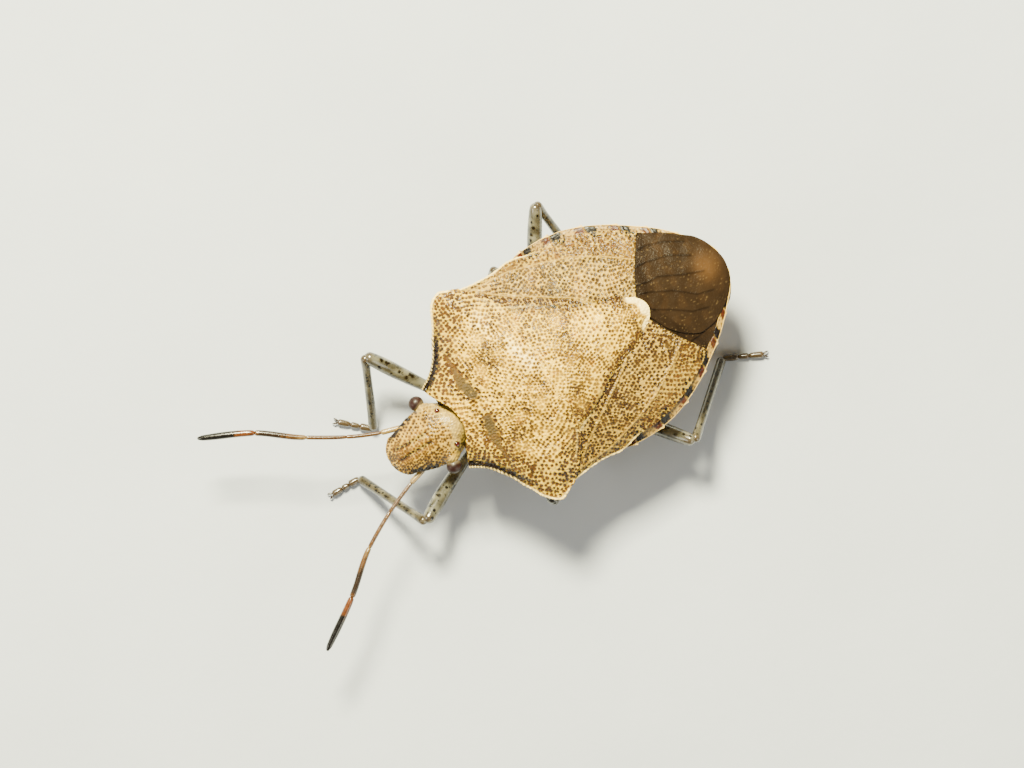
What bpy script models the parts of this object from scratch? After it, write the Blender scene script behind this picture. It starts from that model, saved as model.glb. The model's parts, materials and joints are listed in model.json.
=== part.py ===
"""A light-brown shield bug standing still on its six feet, at life size.

The head points toward -Y, the bug's left side toward +X and its back toward +Z.
All named sizes are in millimetres, each mesh is scaled to metres when it is made.
A plan point is (x, s): x to the bug's left of its midline, s back from the tip of the head.
"""
import math

import bmesh
import bpy
from mathutils import Vector

# General sizes
MM = 0.001
BODY_LENGTH = 12.0
GAP = 0.30
HALF_GAP = GAP / 2
PLATE_THICKNESS = 0.50
MARGIN_THICKNESS = 0.40
LEAST_WALL = 0.40
FLOOR = 0.0
RELAX_STEPS = 60

# Outline of the body in plan, half-widths at stations back from the tip of the head
BODY_HALF_WIDTHS = (
    (2.10, 1.34), (2.68, 1.92), (3.05, 2.44), (3.35, 3.02), (3.62, 3.44), (3.95, 3.66),
    (4.20, 3.56), (4.50, 3.41), (5.57, 3.30), (6.67, 3.44), (7.28, 3.46), (8.04, 3.37),
    (8.70, 3.16), (9.38, 2.83), (10.17, 2.30), (10.70, 1.90), (11.40, 1.20))
TAIL_START = 11.40
TAIL_HALF_WIDTH = 1.20

# Heights above the floor
MARGIN_HEIGHTS = ((2.1, 3.00), (4.0, 3.30), (6.5, 3.10), (12.0, 3.05))
RIDGE_HEIGHTS = (
    (2.0, 3.45), (2.6, 3.60), (3.5, 4.00), (4.6, 4.40), (5.6, 4.50), (6.6, 4.40),
    (8.0, 4.05), (9.2, 3.75), (10.5, 3.45), (11.5, 3.25), (12.0, 3.12))
BELLY_HEIGHTS = (
    (2.1, 1.90), (3.4, 1.75), (5.0, 1.60), (6.3, 1.50), (8.0, 1.25), (9.2, 1.50),
    (10.5, 2.10), (12.0, 2.60))
BACK_ROUNDNESS = 2.3
BELLY_ROUNDNESS = 0.8

# Pronotum, the shield behind the head
PRONOTUM_FRONT = ((-1.40, 2.02), (-0.75, 2.46), (0.0, 2.56), (0.75, 2.46), (1.40, 2.02))
PRONOTUM_SIDE_STATIONS = (2.45, 2.85, 3.20, 3.55, 3.90, 4.15)
PRONOTUM_REAR = (
    (-3.52, 4.50), (-2.75, 5.10), (-2.07, 5.48), (0.0, 5.60), (2.07, 5.48), (2.75, 5.10),
    (3.52, 4.50))
CALLUS = (1.20, 3.15, 0.75, 0.22, 0.06)
PROTHORAX_END = 3.75
REAR_LOBE_START = 4.10

# Scutellum, the triangle between the wings
SCUTELLUM_HALF_WIDTHS = ((5.48, 2.07), (6.40, 1.68), (7.30, 1.16), (8.50, 0.70), (8.96, 0.42))
SCUTELLUM_FRONT = 5.60
SCUTELLUM_SAG = 0.12
SCUTELLUM_TIP = 9.20
SCUTELLUM_TAPER_END = 8.96
SCUTELLUM_CROWN = 0.20

# Wings
CORIUM_REAR = ((0.50, 9.10), (1.25, 9.50), (1.87, 10.10))
WING_STEP_START = 6.10
WING_STEP_END = 6.60
WING_STEP = 0.45
OVERLAP_EDGE = ((0.45, 9.12), (0.92, 9.72), (1.18, 10.10), (1.24, 10.50), (1.08, 11.00))
MEMBRANE_END = 11.60
STRIP_INSET = 0.10
VEIN_HEIGHT = 0.09
VEIN_COLUMNS = 14

# Thorax and abdomen under the wings
THORAX_START = 4.45
THORAX_END = 6.60
THORAX_INSET = 0.40
ABDOMEN_START = 6.90
RIM_WIDTH = 0.30
RIM_STEP = 0.06
ABDOMEN_COLUMNS = 16
ABDOMEN_ROWS = 22

# Head
HEAD_HALF_WIDTHS = (
    (0.33, 0.66), (0.60, 0.72), (0.76, 0.79), (0.98, 0.85), (1.13, 0.90), (1.28, 0.92),
    (1.40, 0.76), (1.86, 0.76), (1.98, 0.91), (2.20, 0.80), (2.42, 0.66))
HEAD_NOSE_START = 0.33
HEAD_NOSE_HALF_WIDTH = 0.66
HEAD_NOSE_POWER = 2.6
HEAD_END = 2.42
HEAD_TOPS = ((0.0, 2.58), (0.5, 2.95), (1.0, 3.15), (1.6, 3.30), (2.2, 3.38), (2.45, 3.30))
HEAD_UNDERS = ((0.0, 2.28), (0.5, 2.05), (1.2, 1.90), (2.0, 1.85), (2.45, 2.05))
HEAD_EDGES = ((0.0, 2.43), (0.5, 2.50), (1.2, 2.60), (2.0, 2.65), (2.45, 2.65))
HEAD_SIDE_WALL = 0.22
OCELLUS = (0.585, 2.05, 0.13)
EYE_CENTRE = (1.12, 1.63, 2.80)
EYE_RADII = (0.25, 0.26, 0.27)
EYE_FLAT = 0.98

# Beak, folded back under the head and between the legs
BEAK_START = 0.55
BEAK_END = 5.05
BEAK_RADIUS = 0.25
BEAK_TIP_RADIUS = 0.14

# Antennae, plan points and heights from the root out
ANTENNA_POINTS = {
    "left": ((1.06, 0.40, 2.40), (1.10, -0.15, 2.45), (1.95, -1.96, 2.55),
             (2.87, -3.07, 2.60), (3.95, -4.67, 2.45)),
    "right": ((-1.06, 0.40, 2.40), (-1.12, -0.10, 2.45), (-2.05, -1.91, 2.55),
              (-2.94, -3.11, 2.60), (-3.70, -4.69, 2.45)),
}
ANTENNA_RADIUS = 0.25
ANTENNA_ROOT_RADIUS = 0.14
ANTENNA_TIP_RADIUS = 0.08
ANTENNA_WAIST = 0.20

# Legs: coxa in plan, trochanter, middle of the femur, knee, end of the tibia, tarsus tip
LEG_POINTS = {
    "front_left": ((0.92, 3.10), (0.98, 2.35, 1.15), (1.50, 1.20, 1.55), (2.16, -0.02, 2.20),
                   (-0.06, -1.14, 0.28), (-0.07, -2.24, 0.20)),
    "front_right": ((-0.92, 3.10), (-1.10, 2.35, 1.15), (-2.15, 1.68, 1.60),
                    (-3.20, 1.03, 2.25), (-1.14, 0.03, 0.28), (-2.02, -0.92, 0.20)),
    "mid_left": ((0.92, 4.75), (1.45, 4.60, 1.05), (2.50, 4.15, 1.45), (3.56, 3.70, 2.10),
                 (2.60, 5.10, 0.28), (2.85, 6.10, 0.20)),
    "mid_right": ((-0.92, 4.75), (-1.45, 4.90, 1.05), (-2.45, 5.35, 1.40),
                  (-3.42, 5.86, 2.05), (-2.50, 4.50, 0.28), (-2.35, 3.50, 0.20)),
    "hind_left": ((0.95, 6.00), (1.50, 6.25, 0.95), (2.95, 7.25, 1.35), (4.32, 8.33, 2.30),
                  (2.61, 10.45, 0.28), (3.25, 11.78, 0.20)),
    "hind_right": ((-0.95, 6.00), (-1.50, 6.25, 0.95), (-3.05, 7.05, 1.35),
                   (-4.48, 7.95, 2.25), (-2.45, 8.20, 0.28), (-1.65, 9.05, 0.20)),
}
COXA_RADIUS = 0.34
TROCHANTER_RADIUS = 0.25
FEMUR_RADIUS = 0.27
KNEE_RADIUS = 0.22
TIBIA_RADIUS = 0.25
ANKLE_RADIUS = 0.22
TARSUS_RADIUS = 0.25
CLAW_RADIUS = 0.12
LIMB_SIDES = 8

# Colours, linear red, green and blue with alpha
TAN = (0.38, 0.24, 0.12, 1.0)
PALE_TAN = (0.46, 0.33, 0.18, 1.0)
WING_TAN = (0.30, 0.20, 0.10, 1.0)
MEMBRANE_BROWN = (0.050, 0.032, 0.020, 1.0)
BELLY_YELLOW = (0.42, 0.32, 0.15, 1.0)
EYE_RED = (0.055, 0.014, 0.010, 1.0)
ANTENNA_BROWN = (0.19, 0.09, 0.035, 1.0)
LEG_GREY = (0.30, 0.25, 0.18, 1.0)


def smooth_through(stations, at):
    """Value at `at` of a smooth curve through (at, value) pairs that never overshoots them."""
    if at <= stations[0][0]:
        return stations[0][1]
    if at >= stations[-1][0]:
        return stations[-1][1]
    widths = [b[0] - a[0] for a, b in zip(stations, stations[1:])]
    rises = [(b[1] - a[1]) / w for a, b, w in zip(stations, stations[1:], widths)]
    slopes = [rises[0]]
    for before, after, wide, wider in zip(rises, rises[1:], widths, widths[1:]):
        if before * after <= 0.0:
            slopes.append(0.0)
        else:
            share, other = 2 * wider + wide, wider + 2 * wide
            slopes.append((share + other) / (share / before + other / after))
    slopes.append(rises[-1])
    index = max(i for i, station in enumerate(stations[:-1]) if station[0] <= at)
    wide = widths[index]
    t = (at - stations[index][0]) / wide
    low, high = stations[index][1], stations[index + 1][1]
    return (low * (2 * t ** 3 - 3 * t ** 2 + 1) + high * (3 * t ** 2 - 2 * t ** 3)
            + wide * slopes[index] * (t ** 3 - 2 * t ** 2 + t)
            + wide * slopes[index + 1] * (t ** 3 - t ** 2))


def curve(points):
    """Function of 0..1 that runs smoothly through points of any dimension."""
    lengths = [0.0]
    for a, b in zip(points, points[1:]):
        lengths.append(lengths[-1] + math.dist(a, b))
    tracks = [[(run / lengths[-1], point[axis]) for run, point in zip(lengths, points)]
              for axis in range(len(points[0]))]
    return lambda t: tuple(smooth_through(track, t) for track in tracks)


def body_half_width(s):
    """Half-width of the body in plan, with the tail rounded off."""
    if s > TAIL_START:
        left_over = max(BODY_LENGTH - s, 0.0) / (BODY_LENGTH - TAIL_START)
        return TAIL_HALF_WIDTH * math.sqrt(left_over)
    return smooth_through(BODY_HALF_WIDTHS, s)


def scutellum_half_width(s):
    """Half-width of the scutellum in plan."""
    return smooth_through(SCUTELLUM_HALF_WIDTHS, s)


def head_half_width(s):
    """Half-width of the head in plan, narrowed where an eye sits."""
    return smooth_through(HEAD_HALF_WIDTHS, s)


def sideways(x, s):
    """Share of the half-width that x lies at, 0 on the midline and 1 on the margin."""
    return min(abs(x) / max(body_half_width(s), 0.05), 1.0)


def back_height(x, s):
    """Height of the back, crowned a little over the scutellum."""
    margin = smooth_through(MARGIN_HEIGHTS, s)
    ridge = smooth_through(RIDGE_HEIGHTS, s)
    return margin + (ridge - margin) * (1 - sideways(x, s) ** BACK_ROUNDNESS)


def belly_height(x, s):
    """Height of the underside."""
    margin = smooth_through(MARGIN_HEIGHTS, s)
    depth = margin - smooth_through(BELLY_HEIGHTS, s)
    return margin - depth * (1 - sideways(x, s) ** 2) ** BELLY_ROUNDNESS


def plate_thickness(x, s):
    """Thickness of a plate of the back, thinner toward the margins."""
    share = sideways(x, s) ** 2
    return PLATE_THICKNESS + (MARGIN_THICKNESS - PLATE_THICKNESS) * share


def plate_under(x, s):
    """Height of the underside of a plate of the back."""
    return back_height(x, s) - plate_thickness(x, s)


def core_top(x, s):
    """Height of what lies one gap below the plates of the back."""
    return plate_under(x, s) - GAP


def core_under(x, s):
    """Height of the underside of the thorax and abdomen, higher along the rim's edge."""
    if body_half_width(s) - abs(x) < RIM_WIDTH / 2:
        return min(belly_height(x, s), back_height(x, s) - PLATE_THICKNESS)
    return min(belly_height(x, s), core_top(x, s) - LEAST_WALL)


def material(name, colour, roughness):
    """Principled material of one node."""
    made = bpy.data.materials.new(name)
    made.use_nodes = True
    shader = made.node_tree.nodes["Principled BSDF"]
    shader.inputs["Base Color"].default_value = colour
    shader.inputs["Roughness"].default_value = roughness
    made.diffuse_color = colour
    return made


def node(name, mesh, colour, roughness=0.45):
    """Turn a bmesh in millimetres into one named object in metres."""
    bmesh.ops.recalc_face_normals(mesh, faces=mesh.faces[:])
    if mesh.calc_volume(signed=True) < 0.0:
        bmesh.ops.reverse_faces(mesh, faces=mesh.faces[:])
    bmesh.ops.scale(mesh, vec=(MM, MM, MM), verts=mesh.verts[:])
    data = bpy.data.meshes.new(name)
    mesh.to_mesh(data)
    mesh.free()
    data.materials.append(material(name, colour, roughness))
    data.shade_smooth()
    made = bpy.data.objects.new(name, data)
    bpy.context.scene.collection.objects.link(made)
    return made


def flat(u, v):
    """Lift of a slab that has no ridges or hollows."""
    return 0.0


def slab(plan, top, under, across, along, inset=0.0, lift=flat):
    """Closed solid over a plan grid.

    plan(u, v) gives the plan point for u from -1 to 1 across and v from 0 to 1 back,
    top(x, s) and under(x, s) the heights, lift(u, v) what is added to the top, and inset
    the width taken off all round, so that neighbours keep a gap.
    """
    mesh = bmesh.new()
    bmesh.ops.create_grid(mesh, x_segments=across, y_segments=along, size=1.0)
    raised = mesh.verts.layers.float.new("raised")
    for vert in mesh.verts:
        u, v = vert.co.x, (vert.co.y + 1) / 2
        vert[raised] = lift(u, v)
        x, s = plan(u, v)
        vert.co = (x, s, 0.0)
    if inset:
        mesh.normal_update()
        bmesh.ops.inset_region(mesh, faces=mesh.faces[:], thickness=inset, depth=0.0,
                               use_boundary=True, use_even_offset=True)
        rim = [vert for vert in mesh.verts if vert.is_boundary]
        bmesh.ops.delete(mesh, geom=rim, context="VERTS")
        inside = [vert for vert in mesh.verts if not vert.is_boundary]
        for _ in range(RELAX_STEPS):
            bmesh.ops.smooth_vert(mesh, verts=inside, factor=0.5, use_axis_x=True,
                                  use_axis_y=True)
    grown = bmesh.ops.extrude_face_region(mesh, geom=mesh.faces[:], use_keep_orig=True)
    below = {item for item in grown["geom"] if isinstance(item, bmesh.types.BMVert)}
    for vert in mesh.verts:
        x, s = vert.co.x, vert.co.y
        vert.co.z = under(x, s) if vert in below else top(x, s) + vert[raised]
    return mesh


def patch(front, rear, inner, outer, side=1.0):
    """Plan of a four-sided plate from its sides, each a function of 0..1.

    front and rear run outward, inner and outer run back; side mirrors the plate.
    """
    def plan(u, v):
        share = (u + 1) / 2
        ends = (front(share), rear(share), inner(v), outer(v))
        corners = (front(0.0), front(1.0), rear(0.0), rear(1.0))
        x, s = (
            (1 - v) * ends[0][axis] + v * ends[1][axis]
            + (1 - share) * ends[2][axis] + share * ends[3][axis]
            - (1 - share) * (1 - v) * corners[0][axis] - share * (1 - v) * corners[1][axis]
            - (1 - share) * v * corners[2][axis] - share * v * corners[3][axis]
            for axis in (0, 1))
        return side * x, s
    return plan


def join(name, pieces, colour, roughness=0.45):
    """One union of closed pieces, which keeps only its largest closed surface."""
    base = pieces[0]
    group = bpy.data.collections.new(name + "_pieces")
    bpy.context.scene.collection.children.link(group)
    for piece in pieces[1:]:
        group.objects.link(piece)
    union = base.modifiers.new("union", "BOOLEAN")
    union.operation = "UNION"
    union.solver = "EXACT"
    union.operand_type = "COLLECTION"
    union.collection = group
    bpy.context.view_layer.update()
    joined = bpy.data.meshes.new_from_object(
        base.evaluated_get(bpy.context.evaluated_depsgraph_get()))
    for piece in pieces:
        bpy.data.objects.remove(piece)
    bpy.data.collections.remove(group)
    mesh = bmesh.new()
    mesh.from_mesh(joined)
    bpy.data.meshes.remove(joined)
    keep_largest(mesh)
    bmesh.ops.scale(mesh, vec=(1 / MM, 1 / MM, 1 / MM), verts=mesh.verts[:])
    return node(name, mesh, colour, roughness)


def keep_largest(mesh):
    """Delete every closed surface of a mesh but the one with most faces."""
    left, shells = set(mesh.faces), []
    while left:
        shell, edge_of_search = set(), [left.pop()]
        while edge_of_search:
            face = edge_of_search.pop()
            shell.add(face)
            near = {other for edge in face.edges for other in edge.link_faces} & left
            left -= near
            edge_of_search.extend(near)
        shells.append(shell)
    keep = max(shells, key=len)
    loose = [face for face in mesh.faces if face not in keep]
    bmesh.ops.delete(mesh, geom=loose, context="FACES")
    loose_verts = [vert for vert in mesh.verts if not vert.link_faces]
    bmesh.ops.delete(mesh, geom=loose_verts, context="VERTS")


def sweep(path, radii, rings, sides=LIMB_SIDES, floor=None):
    """Closed tube along path(t) with radius radii(t), flattened where it meets a floor."""
    mesh = bmesh.new()
    bmesh.ops.create_circle(mesh, cap_ends=True, segments=sides, radius=1.0)
    face = mesh.faces[:][0]
    for ring in range(rings + 1):
        t = ring / rings
        centre = Vector(path(t))
        ahead = Vector(path(min(t + 0.02, 1.0))) - Vector(path(max(t - 0.02, 0.0)))
        side = ahead.cross(Vector((0.0, 0.0, 1.0))).normalized()
        up = side.cross(ahead).normalized()
        if ring:
            inner = face
            grown = bmesh.ops.extrude_face_region(mesh, geom=[inner], use_keep_orig=True)
            face = next(item for item in grown["geom"] if isinstance(item, bmesh.types.BMFace))
            if ring > 1:
                bmesh.ops.delete(mesh, geom=[inner], context="FACES_ONLY")
        for index, vert in enumerate(face.verts):
            angle = 2 * math.pi * (index + 0.5) / sides
            vert.co = centre + radii(t) * (math.cos(angle) * side + math.sin(angle) * up)
            if floor is not None:
                vert.co.z = max(vert.co.z, floor)
    return mesh


def ball(centre, radii, sides=12, rings=8):
    """Closed rounded lump."""
    mesh = bmesh.new()
    bmesh.ops.create_uvsphere(mesh, u_segments=sides, v_segments=rings, radius=1.0)
    bmesh.ops.scale(mesh, vec=radii, verts=mesh.verts[:])
    bmesh.ops.translate(mesh, vec=centre, verts=mesh.verts[:])
    return mesh


def radius_along(shape):
    """Radius of a tube as a function of 0..1, from its (share, radius) points."""
    return lambda t: smooth_through(shape, t)


def build_pronotum():
    """Shield behind the head, a full ring in front and a thin lobe over the thorax."""
    def under(x, s):
        plate = plate_under(x, s)
        deep = min(belly_height(x, s), plate)
        share = (s - PROTHORAX_END) / (REAR_LOBE_START - PROTHORAX_END)
        share = min(max(share, 0.0), 1.0)
        return deep + (plate - deep) * share
    def top(x, s):
        across, back, wide, long, high = CALLUS
        away = ((abs(x) - across) / wide) ** 2 + ((s - back) / long) ** 2
        return back_height(x, s) + high * math.exp(-away)
    side = [PRONOTUM_FRONT[-1]]
    side += [(body_half_width(s) + HALF_GAP, s) for s in PRONOTUM_SIDE_STATIONS]
    side.append(PRONOTUM_REAR[-1])
    plan = patch(curve(PRONOTUM_FRONT), curve(PRONOTUM_REAR),
                 curve([(-x, s) for x, s in side]), curve(side))
    node("pronotum", slab(plan, top, under, 24, 18, inset=HALF_GAP), TAN)


def build_scutellum():
    """Triangle between the wings, with a rounded tip."""
    front, taper = SCUTELLUM_FRONT - SCUTELLUM_SAG, SCUTELLUM_TAPER_END

    def plan(u, v):
        x = u * scutellum_half_width(front + v * (taper - front))
        first = SCUTELLUM_FRONT - SCUTELLUM_SAG * u * u
        last = SCUTELLUM_TIP - (SCUTELLUM_TIP - taper) * u * u
        return x, first + v * (last - first)

    def crown(u, v):
        return SCUTELLUM_CROWN * (1 - u * u) * math.sin(math.pi * v)
    node("scutellum", slab(plan, back_height, plate_under, 14, 16, inset=HALF_GAP, lift=crown),
         PALE_TAN)


def wing_margin(s):
    """Half-width of the wings in plan, half a gap proud, then inside the abdomen's rim."""
    share = (s - WING_STEP_START) / (WING_STEP_END - WING_STEP_START)
    share = min(max(share, 0.0), 1.0)
    eased = share * share * (3 - 2 * share)
    return body_half_width(s) + HALF_GAP - (HALF_GAP + WING_STEP) * eased


def build_corium(name, side):
    """Leathery front part of one wing."""
    joint = next(point for point in PRONOTUM_REAR if point[0] > 0.0)
    shoulder = PRONOTUM_REAR[-1]
    start, end = shoulder[1], CORIUM_REAR[-1][1]
    steps = 12
    outer = [(wing_margin(start + (end - start) * i / steps), start + (end - start) * i / steps)
             for i in range(steps + 1)]
    outer[0] = shoulder
    rear = list(CORIUM_REAR[:-1]) + [outer[-1]]
    inner = [(scutellum_half_width(s), s) for s, _ in SCUTELLUM_HALF_WIDTHS] + [rear[0]]
    inner[0] = joint
    front = [point for point in PRONOTUM_REAR if point[0] >= joint[0]]
    plan = patch(curve(front), curve(rear), curve(inner), curve(outer), side)
    node(name, slab(plan, back_height, plate_under, 10, 22, inset=HALF_GAP), WING_TAN)


def veins(u, v):
    """Lift of the veins that run back along a membrane, fading toward its end."""
    column = round((u + 1) / 2 * VEIN_COLUMNS)
    return VEIN_HEIGHT * (1 - v ** 3) if column % 2 else 0.0


def build_membrane_over():
    """Thin hind part of the right wing, which lies over the left one."""
    front_s, rear_s = CORIUM_REAR[-1][1], 11.0
    outer = [(wing_margin(front_s + (rear_s - front_s) * i / 4),
              front_s + (rear_s - front_s) * i / 4) for i in range(5)]
    inner = [(-x, s) for x, s in OVERLAP_EDGE]
    front = [inner[0], (0.0, SCUTELLUM_TIP + 0.05), CORIUM_REAR[0], CORIUM_REAR[1], outer[0]]
    rear = [inner[-1], (-0.75, 11.42), (0.0, MEMBRANE_END), (0.75, 11.42), outer[-1]]
    plan = patch(curve(front), curve(rear), curve(inner), curve(outer), -1.0)
    node("membrane_right",
         slab(plan, back_height, plate_under, VEIN_COLUMNS, 10, inset=HALF_GAP, lift=veins),
         MEMBRANE_BROWN, 0.3)


def build_membrane_under():
    """Strip of the left wing's membrane that shows beside the right one."""
    corium_s = CORIUM_REAR[-1][1]
    corner = (wing_margin(corium_s), corium_s)
    corium_edge, overlap = curve(list(CORIUM_REAR[:-1]) + [corner]), curve(OVERLAP_EDGE)
    front = [corium_edge(share) for share in (0.45, 0.72, 1.0)]
    rear = [overlap(share) for share in (0.42, 0.60, 0.76)]
    outer = [corner, (wing_margin(rear[-1][1]), rear[-1][1])]
    rear.append(outer[-1])
    plan = patch(curve(front), curve(rear), curve([front[0], rear[0]]), curve(outer))
    node("membrane_left", slab(plan, back_height, plate_under, 6, 4, inset=STRIP_INSET),
         MEMBRANE_BROWN, 0.3)


def build_thorax():
    """Middle of the body, under the scutellum and wings."""
    def plan(u, v):
        s = THORAX_START + v * (THORAX_END - THORAX_START)
        return u * (body_half_width(s) - THORAX_INSET), s
    node("thorax", slab(plan, core_top, core_under, 18, 8), BELLY_YELLOW)


def build_abdomen():
    """Hind part of the body, with its rim standing outside the wings."""
    rim_share, foot_share = 1 - 2 / ABDOMEN_COLUMNS, 1 - 4 / ABDOMEN_COLUMNS
    rim_row, foot_row = 1 - 1 / ABDOMEN_ROWS, 1 - 2 / ABDOMEN_ROWS
    slack = 0.01

    def column(u, half_width):
        share = abs(u)
        inside = half_width - RIM_WIDTH
        if share > rim_share + slack:
            reach = half_width
        elif share > foot_share + slack:
            reach = inside
        else:
            reach = (inside - RIM_STEP) * share / foot_share
        return math.copysign(reach, u)

    def plan(u, v):
        x = column(u, body_half_width(ABDOMEN_START + v * (TAIL_START - ABDOMEN_START)))
        last = BODY_LENGTH - (BODY_LENGTH - TAIL_START) * (
            column(u, TAIL_HALF_WIDTH) / TAIL_HALF_WIDTH) ** 2
        if v > rim_row + slack:
            return x, last
        if v > foot_row + slack:
            return x, last - RIM_WIDTH
        return x, ABDOMEN_START + (last - RIM_WIDTH - RIM_STEP - ABDOMEN_START) * v / foot_row

    def hollow(u, v):
        inside = abs(u) < foot_share + slack and v < foot_row + slack
        return 0.0 if inside else 1.0

    def lift(u, v):
        x, s = plan(u, v)
        return hollow(u, v) * (back_height(x, s) - core_top(x, s))
    node("abdomen", slab(plan, core_top, core_under, ABDOMEN_COLUMNS, ABDOMEN_ROWS, lift=lift),
         BELLY_YELLOW)


def build_head():
    """Head with its ocelli, narrowed at each side where an eye sits."""
    start, end = HEAD_NOSE_START, HEAD_END

    def plan(u, v):
        first = start * abs(u) ** HEAD_NOSE_POWER
        x = u * head_half_width(start + v * (end - start))
        return x, first + v * (end - first)

    def across(x, s):
        if s < start:
            half = HEAD_NOSE_HALF_WIDTH * (s / start) ** (1 / HEAD_NOSE_POWER)
        else:
            half = head_half_width(s)
        return min(abs(x) / max(half, 0.05), 1.0)

    def top(x, s):
        edge = smooth_through(HEAD_EDGES, s) + HEAD_SIDE_WALL / 2
        return edge + (smooth_through(HEAD_TOPS, s) - edge) * (1 - across(x, s) ** 2.4)

    def under(x, s):
        edge = smooth_through(HEAD_EDGES, s) - HEAD_SIDE_WALL / 2
        return edge + (smooth_through(HEAD_UNDERS, s) - edge) * (1 - across(x, s) ** 2.4)
    pieces = [node("head_shell", slab(plan, top, under, 16, 26), TAN)]
    x, s, radius = OCELLUS
    for side in (1, -1):
        centre = (side * x, s, top(x, s))
        pieces.append(node("ocellus", ball(centre, (radius, radius, radius)), TAN))
    join("head", pieces, TAN)


def build_eye(name, side):
    """One eye, cut flat where it meets the side of the head."""
    x, s, z = EYE_CENTRE
    mesh = ball((side * x, s, z), EYE_RADII, sides=16, rings=10)
    cut = bmesh.ops.bisect_plane(
        mesh, geom=mesh.verts[:] + mesh.edges[:] + mesh.faces[:],
        plane_co=(side * EYE_FLAT, 0.0, 0.0), plane_no=(-side, 0.0, 0.0), clear_outer=True)
    rim = [item for item in cut["geom_cut"] if isinstance(item, bmesh.types.BMEdge)]
    bmesh.ops.edgeloop_fill(mesh, edges=rim)
    node(name, mesh, EYE_RED, 0.2)


def build_beak():
    """Beak folded back under the body along its midline."""
    def path(t):
        s = BEAK_START + t * (BEAK_END - BEAK_START)
        if s < HEAD_END:
            roof = smooth_through(HEAD_UNDERS, s)
        else:
            roof = belly_height(0.0, s)
        eased = min(roof, belly_height(0.0, BEAK_END) + 0.35 * (1 - t))
        return 0.0, s, eased - GAP - BEAK_RADIUS
    shape = ((0.0, 0.7 * BEAK_RADIUS), (0.08, BEAK_RADIUS), (0.75, BEAK_RADIUS),
             (1.0, BEAK_TIP_RADIUS))
    node("beak", sweep(path, radius_along(shape), 14), ANTENNA_BROWN)


def build_antenna(name, points):
    """One antenna of five segments, waisted at each joint."""
    path = curve(points)
    joints = (0.0, 0.09, 0.27, 0.52, 0.74, 1.0)
    shape = [(0.0, ANTENNA_ROOT_RADIUS)]
    for joint in joints[1:-1]:
        shape += [(joint - 0.03, ANTENNA_RADIUS), (joint, ANTENNA_WAIST),
                  (joint + 0.03, ANTENNA_RADIUS)]
    shape += [(0.94, 0.8 * ANTENNA_RADIUS), (1.0, ANTENNA_TIP_RADIUS)]
    node(name, sweep(path, radius_along(shape), 34), ANTENNA_BROWN)


def build_leg(name, coxa, *points):
    """One leg from its coxa down to its claws, its three tubes made one."""
    root = (coxa[0], coxa[1], belly_height(*coxa) - GAP - COXA_RADIUS)
    trochanter, thigh, knee, ankle, toe = points
    heel = (ankle[0], ankle[1], toe[2])
    hip = math.dist(root, trochanter) / (
        math.dist(root, trochanter) + math.dist(trochanter, thigh) + math.dist(thigh, knee))
    tubes = (
        ((root, trochanter, thigh, knee), 16, None,
         ((0.0, 0.55 * COXA_RADIUS), (0.35 * hip, COXA_RADIUS), (hip, TROCHANTER_RADIUS),
          (0.5 * (1 + hip), FEMUR_RADIUS), (0.96, KNEE_RADIUS), (1.0, 0.6 * KNEE_RADIUS))),
        ((knee, ankle), 10, FLOOR,
         ((0.0, 0.6 * KNEE_RADIUS), (0.04, KNEE_RADIUS), (0.4, TIBIA_RADIUS),
          (1.0, ANKLE_RADIUS))),
        ((heel, toe), 8, FLOOR,
         ((0.0, 0.8 * TARSUS_RADIUS), (0.1, TARSUS_RADIUS), (0.8, TARSUS_RADIUS),
          (1.0, CLAW_RADIUS))))
    pieces = [
        node(name + "_tube", sweep(curve(path), radius_along(shape), rings, floor=floor),
             LEG_GREY)
        for path, rings, floor, shape in tubes]
    join(name, pieces, LEG_GREY)


def recentre():
    """Put the origin under the middle of the model, on the floor."""
    corners = [vert.co for made in bpy.context.scene.objects for vert in made.data.vertices]
    shift = Vector((-(min(c.x for c in corners) + max(c.x for c in corners)) / 2,
                    -(min(c.y for c in corners) + max(c.y for c in corners)) / 2, 0.0))
    for made in bpy.context.scene.objects:
        for vert in made.data.vertices:
            vert.co += shift


def main():
    """Build every node of the shield bug."""
    for made in list(bpy.data.objects):
        bpy.data.objects.remove(made)
    build_head()
    build_eye("eye_left", 1)
    build_eye("eye_right", -1)
    for side, points in ANTENNA_POINTS.items():
        build_antenna("antenna_" + side, points)
    build_beak()
    build_pronotum()
    build_scutellum()
    build_corium("corium_left", 1.0)
    build_corium("corium_right", -1.0)
    build_membrane_over()
    build_membrane_under()
    build_thorax()
    build_abdomen()
    for name, points in LEG_POINTS.items():
        build_leg("leg_" + name, *points)
    recentre()


main()
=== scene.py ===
"""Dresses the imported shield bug: a light-brown stink bug standing still on its six feet.

Shapes are worked out in millimetres in the body's own frame, (x, s, z): x to the bug's left of
its midline, s back from the tip of the head, z up from the floor. Each finished mesh is moved
to the frame's metres, with its object left at the origin.
"""
from __future__ import annotations

import json
import logging
import math
from collections.abc import Callable, Sequence
from dataclasses import dataclass
from enum import Enum
from functools import partial

import bmesh
import bpy
import numpy as np
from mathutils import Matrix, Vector, kdtree

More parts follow.
